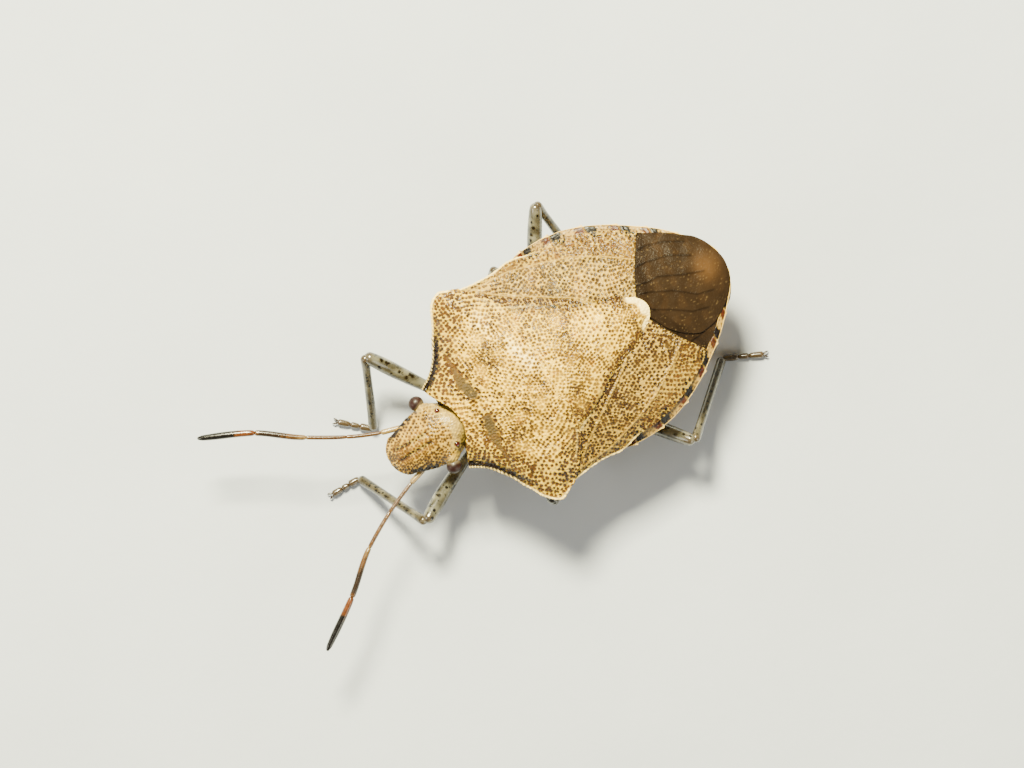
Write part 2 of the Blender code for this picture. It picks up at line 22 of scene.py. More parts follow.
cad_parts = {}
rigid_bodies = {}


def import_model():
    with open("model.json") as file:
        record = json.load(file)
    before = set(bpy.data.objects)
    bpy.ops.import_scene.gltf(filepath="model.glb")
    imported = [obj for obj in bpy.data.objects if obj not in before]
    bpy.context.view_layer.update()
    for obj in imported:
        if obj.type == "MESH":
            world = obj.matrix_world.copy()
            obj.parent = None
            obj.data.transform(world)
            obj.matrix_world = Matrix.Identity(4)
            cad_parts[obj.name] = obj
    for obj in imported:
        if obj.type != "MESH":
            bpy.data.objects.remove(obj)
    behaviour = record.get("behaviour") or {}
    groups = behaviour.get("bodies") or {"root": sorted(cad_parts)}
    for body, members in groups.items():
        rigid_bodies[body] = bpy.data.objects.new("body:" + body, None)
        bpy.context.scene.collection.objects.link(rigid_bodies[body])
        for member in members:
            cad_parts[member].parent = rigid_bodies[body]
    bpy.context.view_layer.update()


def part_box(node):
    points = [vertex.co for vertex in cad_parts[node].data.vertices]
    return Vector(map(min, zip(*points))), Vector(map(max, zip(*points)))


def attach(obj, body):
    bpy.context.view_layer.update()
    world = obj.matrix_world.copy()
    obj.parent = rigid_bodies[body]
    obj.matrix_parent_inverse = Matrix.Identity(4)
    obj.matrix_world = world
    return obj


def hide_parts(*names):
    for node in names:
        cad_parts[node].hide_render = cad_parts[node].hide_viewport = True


for leftover in list(bpy.data.objects):
    bpy.data.objects.remove(leftover)
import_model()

Array = np.ndarray
Points = Sequence[Sequence[float]]
Marks = dict[str, Array]
Plan = Callable[[Array, Array], tuple[Array, Array]]
Height = Callable[[Array, Array], Array]
Paint = Callable[[Array, Array], Marks]
MM = 0.001
BODY_LENGTH = 12.0
# The underside of a plate has this many times fewer cells each way
COARSER = 7
SIDES = {"left": 1.0, "right": -1.0}
log = logging.getLogger("shield_bug")


# Curves, waves and pits

def ease(low: float, high: float, value: Array) -> Array:
    """Smooth step of a value from 0 at low to 1 at high."""
    share = np.clip((value - low) / (high - low), 0.0, 1.0)
    return share * share * (3.0 - 2.0 * share)


def fall(low: float, high: float, value: Array) -> Array:
    """Smooth step of a value from 1 at low to 0 at high."""
    return 1 - ease(low, high, value)


def bump(distance: Array, width: float) -> Array:
    """Bell curve, 1 at distance 0 and nearly 0 past twice the width."""
    return np.exp(-(distance / width) ** 2)


def spot(x: Array, s: Array, place: Sequence[float], width: float) -> Array:
    """Round bell-shaped spot at a place in plan, 1 in its middle."""
    return bump(np.hypot(x - place[0], s - place[1]), width)


def facing_up(normals: Array) -> Array:
    """1 where a surface faces up, falling to 0 where it turns over its edge."""
    return ease(0.05, 0.3, normals[:, 2])


class Stations:
    """Smooth curve through (at, value) stations that never overshoots them."""

    def __init__(self, *points: Sequence[float]) -> None:
        """Work out the slope at every station.

        Args:
            points: The (at, value) pairs, in rising order.
        """
        self.at, self.value = (np.array(side, float) for side in zip(*points))
        wide = np.diff(self.at)
        rise = np.diff(self.value) / wide
        slopes = np.concatenate((rise[:1], np.zeros(len(rise) - 1), rise[-1:]))
        for i in range(1, len(rise)):
            if rise[i - 1] * rise[i] > 0.0:
                before, after = 2 * wide[i] + wide[i - 1], wide[i] + 2 * wide[i - 1]
                slopes[i] = (before + after) / (before / rise[i - 1] + after / rise[i])
        self.wide, self.slope = wide, slopes

    def __call__(self, at: Array | float) -> Array:
        """Value of the curve at one place or many.

        Args:
            at: The places; past either end the curve keeps its end value.

        Returns:
            Array: The values.
        """
        at = np.clip(at, self.at[0], self.at[-1])
        i = np.clip(np.searchsorted(self.at, at, side="right") - 1, 0, len(self.wide) - 1)
        wide = self.wide[i]
        t = (at - self.at[i]) / wide
        return (self.value[i] * (2 * t ** 3 - 3 * t ** 2 + 1)
                + self.value[i + 1] * (3 * t ** 2 - 2 * t ** 3)
                + wide * self.slope[i] * (t ** 3 - 2 * t ** 2 + t)
                + wide * self.slope[i + 1] * (t ** 3 - t ** 2))


class Track:
    """Smooth curve through points in plan or in space, run from 0 to 1."""

    def __init__(self, points: Points) -> None:
        """Space the points by the length between them.

        Args:
            points: The points that the curve goes through.
        """
        steps = [math.dist(a, b) for a, b in zip(points, points[1:])]
        self.length = sum(steps)
        shares = np.concatenate(([0.0], np.cumsum(steps))) / self.length
        self.axes = [Stations(*zip(shares, values)) for values in zip(*points)]

    def __call__(self, t: Array | float) -> Array:
        """Points of the curve, one row each."""
        return np.stack([axis(np.asarray(t, float)) for axis in self.axes], axis=-1)


class Waves:
    """Seeded sum of cosine waves of nearly one length, with a spread of about 1."""

    def __init__(self, seed: int, wavelength: float, spread: float = 0.3, count: int = 24) -> None:
        """Draw the waves.

        Args:
            seed: Seed of the draw.
            wavelength: Mean wavelength in millimetres.
            spread: How far the wavelengths stray from the mean.
            count: Number of waves.
        """
        draw = np.random.default_rng(seed)
        turn = draw.uniform(0.0, 2 * np.pi, count)
        pace = 2 * np.pi / wavelength * draw.uniform(1 - spread, 1 + spread, count)
        self.across, self.along = pace * np.cos(turn), pace * np.sin(turn)
        self.phase = draw.uniform(0.0, 2 * np.pi, count)

    def __call__(self, x: Array, s: Array) -> Array:
        """Height of the waves at plan points.

        Args:
            x: Places across.
            s: Places back.

        Returns:
            Array: The heights.
        """
        total = np.zeros_like(x)
        for across, along, phase in zip(self.across, self.along, self.phase):
            total += np.cos(x * across + s * along + phase)
        return total * math.sqrt(2.0 / len(self.phase))


@dataclass(frozen=True)
class PitField:
    """Punctures strewn in loose curving rows, as they lie on the cuticle.

    Spacing and radius are in millimetres, missing and stray are shares of the pits and of the
    spacing, and slope is where a pit's wall ends, in pit radii.
    """

    seed: int
    spacing: float
    radius: float
    missing: float = 0.06
    stray: float = 0.15
    slope: float = 1.15

    def __call__(self, x: Array, s: Array) -> tuple[Array, Array]:
        """Punctures and the crests between them at plan points.

        Args:
            x: Places across.
            s: Places back.

        Returns:
            tuple: Depth, 1 in the middle of a pit, and crest, 1 farthest from any pit.
        """
        draw = np.random.default_rng(self.seed)
        low, high = (x.min() - 1.0, s.min() - 1.0), (x.max() + 1.0, s.max() + 1.0)
        rows = np.arange(low[1], high[1], self.spacing * math.sqrt(0.75))
        columns = np.arange(low[0], high[0], self.spacing)
        grid_x, grid_s = np.meshgrid(columns, rows)
        grid_x = grid_x + (np.arange(len(rows)) % 2)[:, None] * self.spacing / 2
        spots = np.stack((grid_x.ravel(), grid_s.ravel()), axis=1)
        spots = spots[draw.random(len(spots)) > self.missing]
        for axis in (0, 1):
            sway = Waves(self.seed + 7 + axis, 2.2)(spots[:, 0], spots[:, 1])
            spots[:, axis] += 0.09 * sway + draw.normal(0.0, self.stray * self.spacing, len(spots))
        size = self.radius * draw.uniform(0.72, 1.18, len(spots))
        depth = draw.uniform(0.85, 1.0, len(spots))
        tree = kdtree.KDTree(len(spots))
        for index, (across, back) in enumerate(spots):
            tree.insert((across, back, 0.0), index)
        tree.balance()
        found = [tree.find((a, b, 0.0))[1:] for a, b in zip(x.tolist(), s.tolist())]
        index = np.array([item[0] for item in found])
        away = np.array([item[1] for item in found])
        pit = depth[index] * fall(0.60, self.slope, away / size[index])
        return pit, ease(1.15, 1.65, away / size[index])


def drifts(x: Array, s: Array, level: float, *layers: tuple[float, int, float], low: float = 0.0,
           high: float = 0.75) -> Array:
    """Level with layers of waves laid on it, kept between two limits.

    Args:
        x: Places across.
        s: Places back.
        level: Level without waves.
        layers: Height, seed and wavelength of each layer.
        low: Lower limit.
        high: Upper limit.

    Returns:
        Array: The level at each place.
    """
    total = level
    for height, seed, wavelength in layers:
        total = total + height * Waves(seed, wavelength)(x, s)
    return np.clip(total, low, high)


def gap_to(x: Array, s: Array, points: Points) -> tuple[Array, Array]:
    """Distance from plan points to a line of straight pieces.

    Args:
        x: Places across.
        s: Places back.
        points: Corners of the line, in plan.

    Returns:
        tuple: The distances, and the share of the line's length run at the nearest place.
    """
    best, share = np.full_like(x, 1e9), np.zeros_like(x)
    steps = [math.dist(a, b) for a, b in zip(points, points[1:])]
    run = 0.0
    for (ax, as_), (bx, bs), step in zip(points, points[1:], steps):
        t = np.clip(((x - ax) * (bx - ax) + (s - as_) * (bs - as_)) / step ** 2, 0.0, 1.0)
        away = np.hypot(x - ax - t * (bx - ax), s - as_ - t * (bs - as_))
        nearer = away < best
        best = np.where(nearer, away, best)
        share = np.where(nearer, (run + t * step) / sum(steps), share)
        run += step
    return best, share


# Mesh making

def reshape(verts: Sequence[bmesh.types.BMVert], rule: Callable[[Array], Array]) -> None:
    """Move mesh points by a rule that works on the whole array of them at once.

    Args:
        verts: The points.
        rule: Their new places from their old ones.
    """
    places = rule(np.array([vert.co[:] for vert in verts]))
    for vert, place in zip(verts, places.tolist()):
        vert.co = place


def lay(plan: Plan, top: Height, share: float, drop: float, co: Array) -> Array:
    """Lay a grid's points over part of a plan.

    Args:
        plan: Plan point of (u, v).
        top: Height of the upper face at a plan point.
        share: Share of the plan that the grid covers.
        drop: Depth under the upper face.
        co: The grid's points, from -1 to 1 both ways.

    Returns:
        Array: Their places.
    """
    x, s = plan(co[:, 0] * share, 0.5 + co[:, 1] * share / 2)
    return np.stack((x, s, top(x, s) - drop), axis=1)


def plate(plan: Plan, top: Height, cells: tuple[int, int], thickness: float, edge: float,
          turns: int = 4) -> bmesh.types.BMesh:
    """Thin closed plate over a plan grid, with a rounded edge and a coarser underside.

    Args:
        plan: Plan point of (u, v), u from -1 to 1 across and v from 0 to 1 back.
        top: Height of the upper face at a plan point.
        cells: Grid cells across and back.
        thickness: Thickness in millimetres.
        edge: Radius of the rounded edge.
        turns: Rings in the rounded edge.

    Returns:
        bmesh.types.BMesh: The closed plate, in millimetres.
    """
    across, along = cells
    mesh = bmesh.new()
    bmesh.ops.create_grid(mesh, x_segments=across, y_segments=along, size=1.0)
    reshape(mesh.verts[:], partial(lay, plan, top, 1.0, 0.0))
    out = mesh.verts.layers.float_vector.new("out")
    base = mesh.verts.layers.float_vector.new("base")
    rim = [item for item in mesh.edges if item.is_boundary]
    for item in rim:
        a, b = item.verts
        along_edge = b.co - a.co
        side = Vector((along_edge.y, -along_edge.x, 0.0)).normalized()
        if side.dot(a.co - item.link_faces[0].calc_center_median()) < 0.0:
            side.negate()
        for vert in (a, b):
            vert[out] = vert[out] + side
            vert[base] = vert.co
    for vert in {vert for item in rim for vert in item.verts}:
        vert[out] = vert[out].normalized()
    for turn in range(1, turns + 2):
        grown = bmesh.ops.extrude_edge_only(mesh, edges=rim)["geom"]
        rim = [item for item in grown if isinstance(item, bmesh.types.BMEdge)
               and item.is_boundary]
        angle = min(turn / turns, 1.0) * math.pi / 2
        drop = edge * (1 - math.cos(angle)) if turn <= turns else max(thickness, edge)
        for vert in (item for item in grown if isinstance(item, bmesh.types.BMVert)):
            vert.co = vert[base] + vert[out] * edge * math.sin(angle)
            vert.co.z -= drop
    under = bmesh.ops.create_grid(mesh, x_segments=across // COARSER,
                                  y_segments=along // COARSER, size=1.0)["verts"]
    reshape(under, partial(lay, plan, top, 0.97, thickness))
    below = set(under)
    edges = [item for item in mesh.edges if item.is_boundary and item.verts[0] in below]
    bmesh.ops.bridge_loops(mesh, edges=rim + edges)
    return mesh


def bead(place: Sequence[float], radii: Sequence[float], subdivisions: int) -> bmesh.types.BMesh:
    """Round lens at a place.

    Args:
        place: Its middle.
        radii: Its radii across, back and up.
        subdivisions: How finely it is divided.

    Returns:
        bmesh.types.BMesh: The closed lens, in millimetres.
    """
    mesh = bmesh.new()
    bmesh.ops.create_icosphere(mesh, subdivisions=subdivisions, radius=1.0)
    bmesh.ops.scale(mesh, vec=radii, verts=mesh.verts[:])
    bmesh.ops.translate(mesh, vec=place, verts=mesh.verts[:])
    return mesh


def capped(v: Array, rows: int) -> tuple[Array, Array]:
    """Places along a skin whose first and last rows of points close its two ends.

    Args:
        v: Places along the grid, 0 to 1.
        rows: Grid cells along it.

    Returns:
        tuple: Share of the length that each row lies at, and whether it isn't an end.
    """
    share = (np.clip(v, 1 / rows, 1 - 1 / rows) - 1 / rows) / (1 - 2 / rows)
    return share, (v > 0.5 / rows) & (v < 1 - 0.5 / rows)


def section(turn: Array, margin: Array, top: Array, low: Array, flat: float) -> Array:
    """Heights round a skin, blended into its side edge.

    Args:
        turn: Angles round it, the upper half first.
        margin: Height of the side edge.
        top: Height of the upper face.
        low: Height of the lower face.
        flat: Sine of the angle over which it leaves the edge.

    Returns:
        Array: The heights.
    """
    share = ease(0.0, flat, np.abs(np.sin(turn)))
    return margin + (np.where(np.sin(turn) >= 0, top, low) - margin) * share


def wrap(mesh: bmesh.types.BMesh, surface: Callable[[Array, Array], Array], around: int,
         along: int, paint: Paint | None = None) -> None:
    """Add a closed skin: a grid rolled into a tube whose seam and two ends are welded.

    Args:
        mesh: The mesh that the skin goes into.
        surface: Points at (turn, v), turn from 0 to 2 pi round and v from 0 to 1 along.
        around: Grid cells round it.
        along: Grid cells along it.
        paint: Marks at (turn, v), kept on the points.
    """
    names = list(paint(np.zeros(2), np.zeros(2))) if paint else []
    for name in names:
        if name not in mesh.verts.layers.float:
            mesh.verts.layers.float.new(name)
    layers = [mesh.verts.layers.float[name] for name in names]
    verts = bmesh.ops.create_grid(mesh, x_segments=around, y_segments=along, size=1.0)["verts"]
    grid = np.array([vert.co[:] for vert in verts])
    turn, v = np.pi * (grid[:, 0] + 1.0), (grid[:, 1] + 1.0) / 2
    marks = paint(turn, v) if paint else {}
    reshape(verts, lambda co: surface(turn, v))
    for layer, values in zip(layers, marks.values()):
        for vert, value in zip(verts, values.tolist()):
            vert[layer] = value
    bmesh.ops.remove_doubles(mesh, verts=verts, dist=1e-4)


def along_tube(v: Array) -> Array:
    """Share of a tube's length at v, with its rows gathered toward both ends."""
    return v - 0.75 * np.sin(2 * np.pi * v) / (2 * np.pi)


def dome(share: Array) -> Array:
    """Square of a quarter circle's height, from 0 at its foot to 1 at a share of 1."""
    return np.clip(1 - (1 - np.clip(share, 0, 1)) ** 2, 0, 1)


def tube_surface(track: Track, radius: Stations, floor: float, turn: Array, v: Array) -> Array:
    """Points of a round-ended tube.

    Args:
        track: Its middle line.
        radius: Its radius at each share of its length.
        floor: Height that no point goes below.
        turn: Angles round it.
        v: Places along it, 0 to 1.

    Returns:
        Array: The points.
    """
    t = along_tube(v)
    ends = [float(radius(end)) / track.length * 0.9 for end in (0.0, 1.0)]
    cap = np.sqrt(dome(t / ends[0]) * dome((1 - t) / ends[1]))
    ahead = track(np.minimum(t + 0.01, 1.0)) - track(np.maximum(t - 0.01, 0.0))
    ahead /= np.linalg.norm(ahead, axis=1)[:, None]
    side = np.cross(ahead, (0.0, 0.0, 1.0))
    side /= np.linalg.norm(side, axis=1)[:, None]
    up = np.cross(side, ahead)
    reach = (radius(t) * cap)[:, None]
    co = track(t) + reach * (np.cos(turn)[:, None] * side + np.sin(turn)[:, None] * up)
    co[:, 2] = np.maximum(co[:, 2], floor)
    return co


def tube(mesh: bmesh.types.BMesh, track: Track, radius: Stations, around: int, along: int,
         paint: Paint | None = None, floor: float = -9.0) -> None:
    """Add a closed round-ended tube along a track.

    Args:
        mesh: The mesh that the tube goes into.
        track: Its middle line.
        radius: Its radius at each share of its length.
        around: Grid cells round it.
        along: Grid cells along it.
        paint: Marks at (turn, v), v from 0 to 1 along it.
        floor: Height that no point goes below.
    """
    wrap(mesh, partial(tube_surface, track, radius, floor), around, along, paint)


class RowFrame:
    """Where the body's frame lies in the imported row, found from two of its nodes."""

    def __init__(self) -> None:
        """Read the shift from the pronotum's middle and the tail's end."""
        low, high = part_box("pronotum")
        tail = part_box("abdomen")[1]
        self.shift = np.array(((low.x + high.x) / 2, tail.y - BODY_LENGTH * MM, 0.0))

    def to_row(self, co: Array) -> Array:
        """Millimetres in the body's frame to metres in the row's."""
        return co * MM + self.shift


ROW = RowFrame()


def dress(name: str, mesh: bmesh.types.BMesh, finish: Finish, nodes: Sequence[str],
          marks: Paint | None = None) -> bpy.types.Object:
    """Turn a mesh in millimetres into one finished piece that rides on the body.

    Args:
        name: Name of the piece.
        mesh: Its closed mesh, which is freed.
        finish: Its finish.
        nodes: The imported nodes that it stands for.
        marks: Marks at (places, normals); one named relief lifts the surface instead.

    Returns:
        bpy.types.Object: The piece.
    """
    bmesh.ops.recalc_face_normals(mesh, faces=mesh.faces[:])
    if mesh.calc_volume(signed=True) < 0.0:
        bmesh.ops.reverse_faces(mesh, faces=mesh.faces[:])
    data = bpy.data.meshes.new(name)
    for layer in ("out", "base"):
        if layer in mesh.verts.layers.float_vector:
            mesh.verts.layers.float_vector.remove(mesh.verts.layers.float_vector[layer])
    mesh.to_mesh(data)
    mesh.free()
    co = np.zeros(len(data.vertices) * 3)
    data.vertices.foreach_get("co", co)
    co = co.reshape(-1, 3)
    normals = np.zeros(len(data.vertices) * 3, np.float32)
    data.vertex_normals.foreach_get("vector", normals)
    normals = normals.reshape(-1, 3)
    for mark, values in (marks(co, normals) if marks else {}).items():
        if mark == "relief":
            co += normals * values[:, None]
            continue
        layer = data.attributes.new(mark, "FLOAT", "POINT")
        layer.data.foreach_set("value", np.clip(values, 0.0, 1.0).astype(np.float32))
    data.vertices.foreach_set("co", ROW.to_row(co).ravel())
    data.materials.append(finish.material())
    data.shade_smooth()
    data.update()
    piece = bpy.data.objects.new(name, data)
    bpy.context.scene.collection.objects.link(piece)
    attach(piece, "root")
    if nodes:
        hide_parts(*nodes)
    log.info("%s: %d points, %d faces", name, len(data.vertices), len(data.polygons))
    return piece


# Finishes

def linear(colour: str) -> tuple[float, float, float, float]:
    """Linear red, green, blue and alpha of an sRGB hex colour such as "c8a878"."""
    parts = [int(colour[i:i + 2], 16) / 255 for i in (0, 2, 4)]
    return (*(p / 12.92 if p <= 0.04045 else ((p + 0.055) / 1.055) ** 2.4 for p in parts), 1.0)


def add(tree: bpy.types.NodeTree, kind: str, inputs: dict[int | str, object] | None = None,
        **settings: object) -> bpy.types.Node:
    """Add one shader node.

    Args:
        tree: The material's nodes.
        kind: Blender's name of the node.
        inputs: A value, or an output to link, for each named or numbered input.
        settings: Properties of the node.

    Returns:
        bpy.types.Node: The new node.
    """
    made = tree.nodes.new(kind)
    for key, value in settings.items():
        setattr(made, key, value)
    for key, value in (inputs or {}).items():
        if isinstance(value, bpy.types.NodeSocket):
            tree.links.new(value, made.inputs[key])
        else:
            made.inputs[key].default_value = value
    return made


class Grain(Enum):
    """Kind of fine relief that a finish carries."""

    WRINKLE = "wrinkle"
    FACETS = "facets"
    SMOOTH = "smooth"


@dataclass(frozen=True)
class Finish:
    """One finish: clouds of two ground colours, then each paint laid on where its mark is.

    Colours are sRGB hex values, and each paint is a mark's name with its colour. The clouds
    are drift_mm across, the fine relief grain_mm.
    """

    name: str
    ground: str
    drift: str
    drift_mm: float = 0.6
    paints: tuple[tuple[str, str], ...] = ()
    roughness: float = 0.42
    gloss_spread: float = 0.12
    coat: float = 0.0
    coat_roughness: float = 0.15
    ior: float = 1.56
    grain: Grain = Grain.WRINKLE
    grain_mm: float = 0.035
    grain_depth_mm: float = 0.006
    under_skin: float = 0.0

    def material(self) -> bpy.types.Material:
        """The Blender material, made once for each name."""
        if self.name in bpy.data.materials:
            return bpy.data.materials[self.name]
        made = bpy.data.materials.new(self.name)
        made.use_nodes = True
        tree = made.node_tree
        shader = tree.nodes["Principled BSDF"]
        place = add(tree, "ShaderNodeTexCoord").outputs["Object"]
        clouds = add(tree, "ShaderNodeTexNoise", {
            "Vector": place, "Scale": 1 / (self.drift_mm * MM), "Detail": 4.0,
            "Roughness": 0.6})
        spread = add(tree, "ShaderNodeMapRange", {
            "Value": clouds.outputs["Fac"], "From Min": 0.32, "From Max": 0.68})
        colour = add(tree, "ShaderNodeMix", {
            0: spread.outputs["Result"], 6: linear(self.ground), 7: linear(self.drift)},
            data_type="RGBA").outputs[2]
        for mark, paint in self.paints:
            layer = add(tree, "ShaderNodeAttribute", attribute_name=mark)
            colour = add(tree, "ShaderNodeMix", {
                0: layer.outputs["Fac"], 6: colour, 7: linear(paint)},
                data_type="RGBA").outputs[2]
        tree.links.new(colour, shader.inputs["Base Color"])
        gloss = add(tree, "ShaderNodeTexNoise", {
            "Vector": place, "Scale": 1 / (3.1 * self.grain_mm * MM), "Detail": 2.0})
        rough = add(tree, "ShaderNodeMapRange", {
            "Value": gloss.outputs["Fac"], "From Min": 0.25, "From Max": 0.75,
            "To Min": self.roughness - self.gloss_spread,
            "To Max": self.roughness + self.gloss_spread})
        tree.links.new(rough.outputs["Result"], shader.inputs["Roughness"])
        settings = {"IOR": self.ior, "Coat Weight": self.coat,
                    "Coat Roughness": self.coat_roughness}
        if self.under_skin:
            settings |= {"Subsurface Weight": self.under_skin,
                         "Subsurface Radius": (1.0, 0.75, 0.5), "Subsurface Scale": 0.15 * MM}
        for socket, value in settings.items():
            shader.inputs[socket].default_value = value
        self.roughen(tree, shader, place)
        return made

    def roughen(self, tree: bpy.types.NodeTree, shader: bpy.types.Node,
                place: bpy.types.NodeSocket) -> None:
        """Lay the fine relief on the shader's normal.

        Args:
            tree: The material's nodes.
            shader: The Principled shader.
            place: Object coordinates.
        """
        if self.grain is Grain.SMOOTH:
            return
        if self.grain is Grain.FACETS:
            cells = add(tree, "ShaderNodeTexVoronoi", {
                "Vector": place, "Scale": 1 / (self.grain_mm * MM), "Randomness": 0.25},
                feature="F1")
            height = add(tree, "ShaderNodeMath", {0: 1.0, 1: cells.outputs["Distance"]},
                         operation="SUBTRACT").outputs[0]
        else:
            height = add(tree, "ShaderNodeTexNoise", {
                "Vector": place, "Scale": 1 / (self.grain_mm * MM), "Detail": 3.0,
                "Roughness": 0.55}).outputs["Fac"]
        relief = add(tree, "ShaderNodeBump", {
            "Height": height, "Strength": 1.0, "Distance": self.grain_depth_mm * MM})
        tree.links.new(relief.outputs["Normal"], shader.inputs["Normal"])


# Chitin of the back, hardened and tanned after the last moult: pale ochre horn with brown
# punctures, waxy, so that it glints between them. The IOR of all the plates is set below the
# 1.56 of dry chitin, so that the studio's soft light doesn't veil their colour
# The cream paint is painted highlight on the crests between the punctures, and the stain paint
# also lays painted shade
BACK_CUTICLE = Finish(
    "punctured_back_cuticle", "dcae20", "c69618", 0.9,
    (("moss", "4a3c22"), ("rust", "84380a"), ("stain", "5c3a0e"), ("pit", "342414"),
     ("dusk", "0b0506"), ("cream", "fcd034"), ("ivory", "ffe08a")), roughness=0.27,
    gloss_spread=0.10, ior=1.33)
# Chitin of the fore wing's leathery part, thinner and greyer, with finer punctures
# The cream paint is partly painted highlight on the crests between the punctures, and the stain
# paint also lays painted shade
WING_CUTICLE = Finish(
    "leathery_wing_cuticle", "8a6622", "74561a", 0.8,
    (("moss", "7a683a"), ("rust", "6c2e08"), ("stain", "46290a"), ("pit", "281c0e"),
     ("dusk", "0c0606"), ("cream", "deb640"), ("ivory", "f6d884")), roughness=0.30,
    gloss_spread=0.10, ior=1.31, grain_depth_mm=0.005)
# Chitin of the scutellum, the palest and waxiest plate, ivory at its tip
# The cream paint is painted highlight on the crests between the punctures, and the stain paint
# also lays painted shade along the edges
SCUTELLUM_CUTICLE = Finish(
    "scutellum_cuticle", "dcb022", "c6981a", 0.9,
    (("rust", "84380a"), ("stain", "5c3a0e"), ("pit", "342414"), ("dusk", "0c0606"),
     ("cream", "fcd238"), ("ivory", "ffe08c")), roughness=0.27, gloss_spread=0.10, ior=1.33)
# Chitin of the head, tan with fine punctures and a polished ivory nape
# The cream paint is partly painted highlight on the crests between the punctures, and the stain
# paint also lays a band of painted shade before the pronotum
HEAD_CUTICLE = Finish(
    "head_cuticle", "9a6e20", "805a18", 0.5,
    (("moss", "685224"), ("rust", "642c02"), ("stain", "4a320c"), ("pit", "2c2010"),
     ("dusk", "140a08"), ("cream", "dab43e"), ("ivory", "ceb86c")), roughness=0.27,
    gloss_spread=0.10, ior=1.38)
# Chitin of the underside, thin and yellowish with reddish specks
# The dusk paint also lays painted shade at the front, in the gap between the head and the pronotum
BELLY_CUTICLE = Finish(
    "belly_cuticle", "aa822c", "8e6a22", 0.7,
    (("moss", "6a5626"), ("rust", "3e1406"), ("stain", "543810"), ("pit", "1a0a02"),
     ("dusk", "0a0404"), ("cream", "eec870")), roughness=0.34, gloss_spread=0.08, ior=1.34)
# Bare membrane of the hind part of the wing: smoky brown chitin film, finely crinkled. A low
# IOR keeps its gloss soft, and the sparks on its crinkles are faint painted flecks
# The vein paint also lays a painted shadow along the front edge
WING_MEMBRANE = Finish(
    "smoky_wing_membrane", "211912", "18120d", 0.5,
    (("rust", "6a4a2a"), ("vein", "070403"), ("cream", "d8b47c")), roughness=0.26,
    gloss_spread=0.08, ior=1.15, grain_mm=0.036, grain_depth_mm=0.010)
# Compound eye: a dome of tiny clear lenses over dark red pigment; its pale inner side is the eye's
# pale wall with a painted reflection laid over it. Its real lenses are about 0.012 mm across and
# are drawn at 0.03 mm so that they show
COMPOUND_EYE = Finish(
    "compound_eye_lenses", "260d08", "170605", 0.25, (("cream", "6a5e4a"),), roughness=0.42,
    gloss_spread=0.04, coat=0.10, coat_roughness=0.12, ior=1.36, grain=Grain.FACETS,
    grain_mm=0.03, grain_depth_mm=0.003)
# Simple eye: one clear glassy lens over red pigment
OCELLUS_LENS = Finish(
    "ocellus_lens", "3c0c08", "2c0806", 0.1, roughness=0.10, gloss_spread=0.02, coat=0.8,
    coat_roughness=0.04, grain=Grain.SMOOTH)
# Chitin of the legs, thin-walled, so that light goes a little way in: grey horn with round
# black-brown spots
# The pit paint also lays painted shade on one knee
LEG_CUTICLE = Finish(
    "spotted_leg_cuticle", "48453a", "38352b", 0.5,
    (("olive", "3a2e16"), ("rust", "361a06"), ("cream", "8e8a76"), ("pit", "060301")),
    roughness=0.24, gloss_spread=0.08, coat=0.8, coat_roughness=0.12, ior=1.46,
    grain_depth_mm=0.004, under_skin=0.12)
# Chitin of the feelers, translucent brown horn, black where it is thickest
FEELER_CUTICLE = Finish(
    "feeler_cuticle", "553c18", "3e2a0e", 0.4,
    (("cream", "98804c"), ("rust", "5c2c08"), ("dusk", "060301")), roughness=0.26,
    gloss_spread=0.08, coat=0.25, coat_roughness=0.1, grain_depth_mm=0.004)
# Claws of hard black-brown chitin
CLAW_CHITIN = Finish(
    "claw_chitin", "2a180a", "1c0e06", 0.1, roughness=0.25, gloss_spread=0.05, coat=0.3,
    grain=Grain.SMOOTH)
# Matt sheet of pale card under the model, pressed from pulp, with a faint fibre cloud
CARD = Finish("pale_card", "bcc1cd", "b6bbc7", 9.0, roughness=0.85, gloss_spread=0.05,
              grain_mm=0.4, grain_depth_mm=0.01, ior=1.45)


# The bug's form

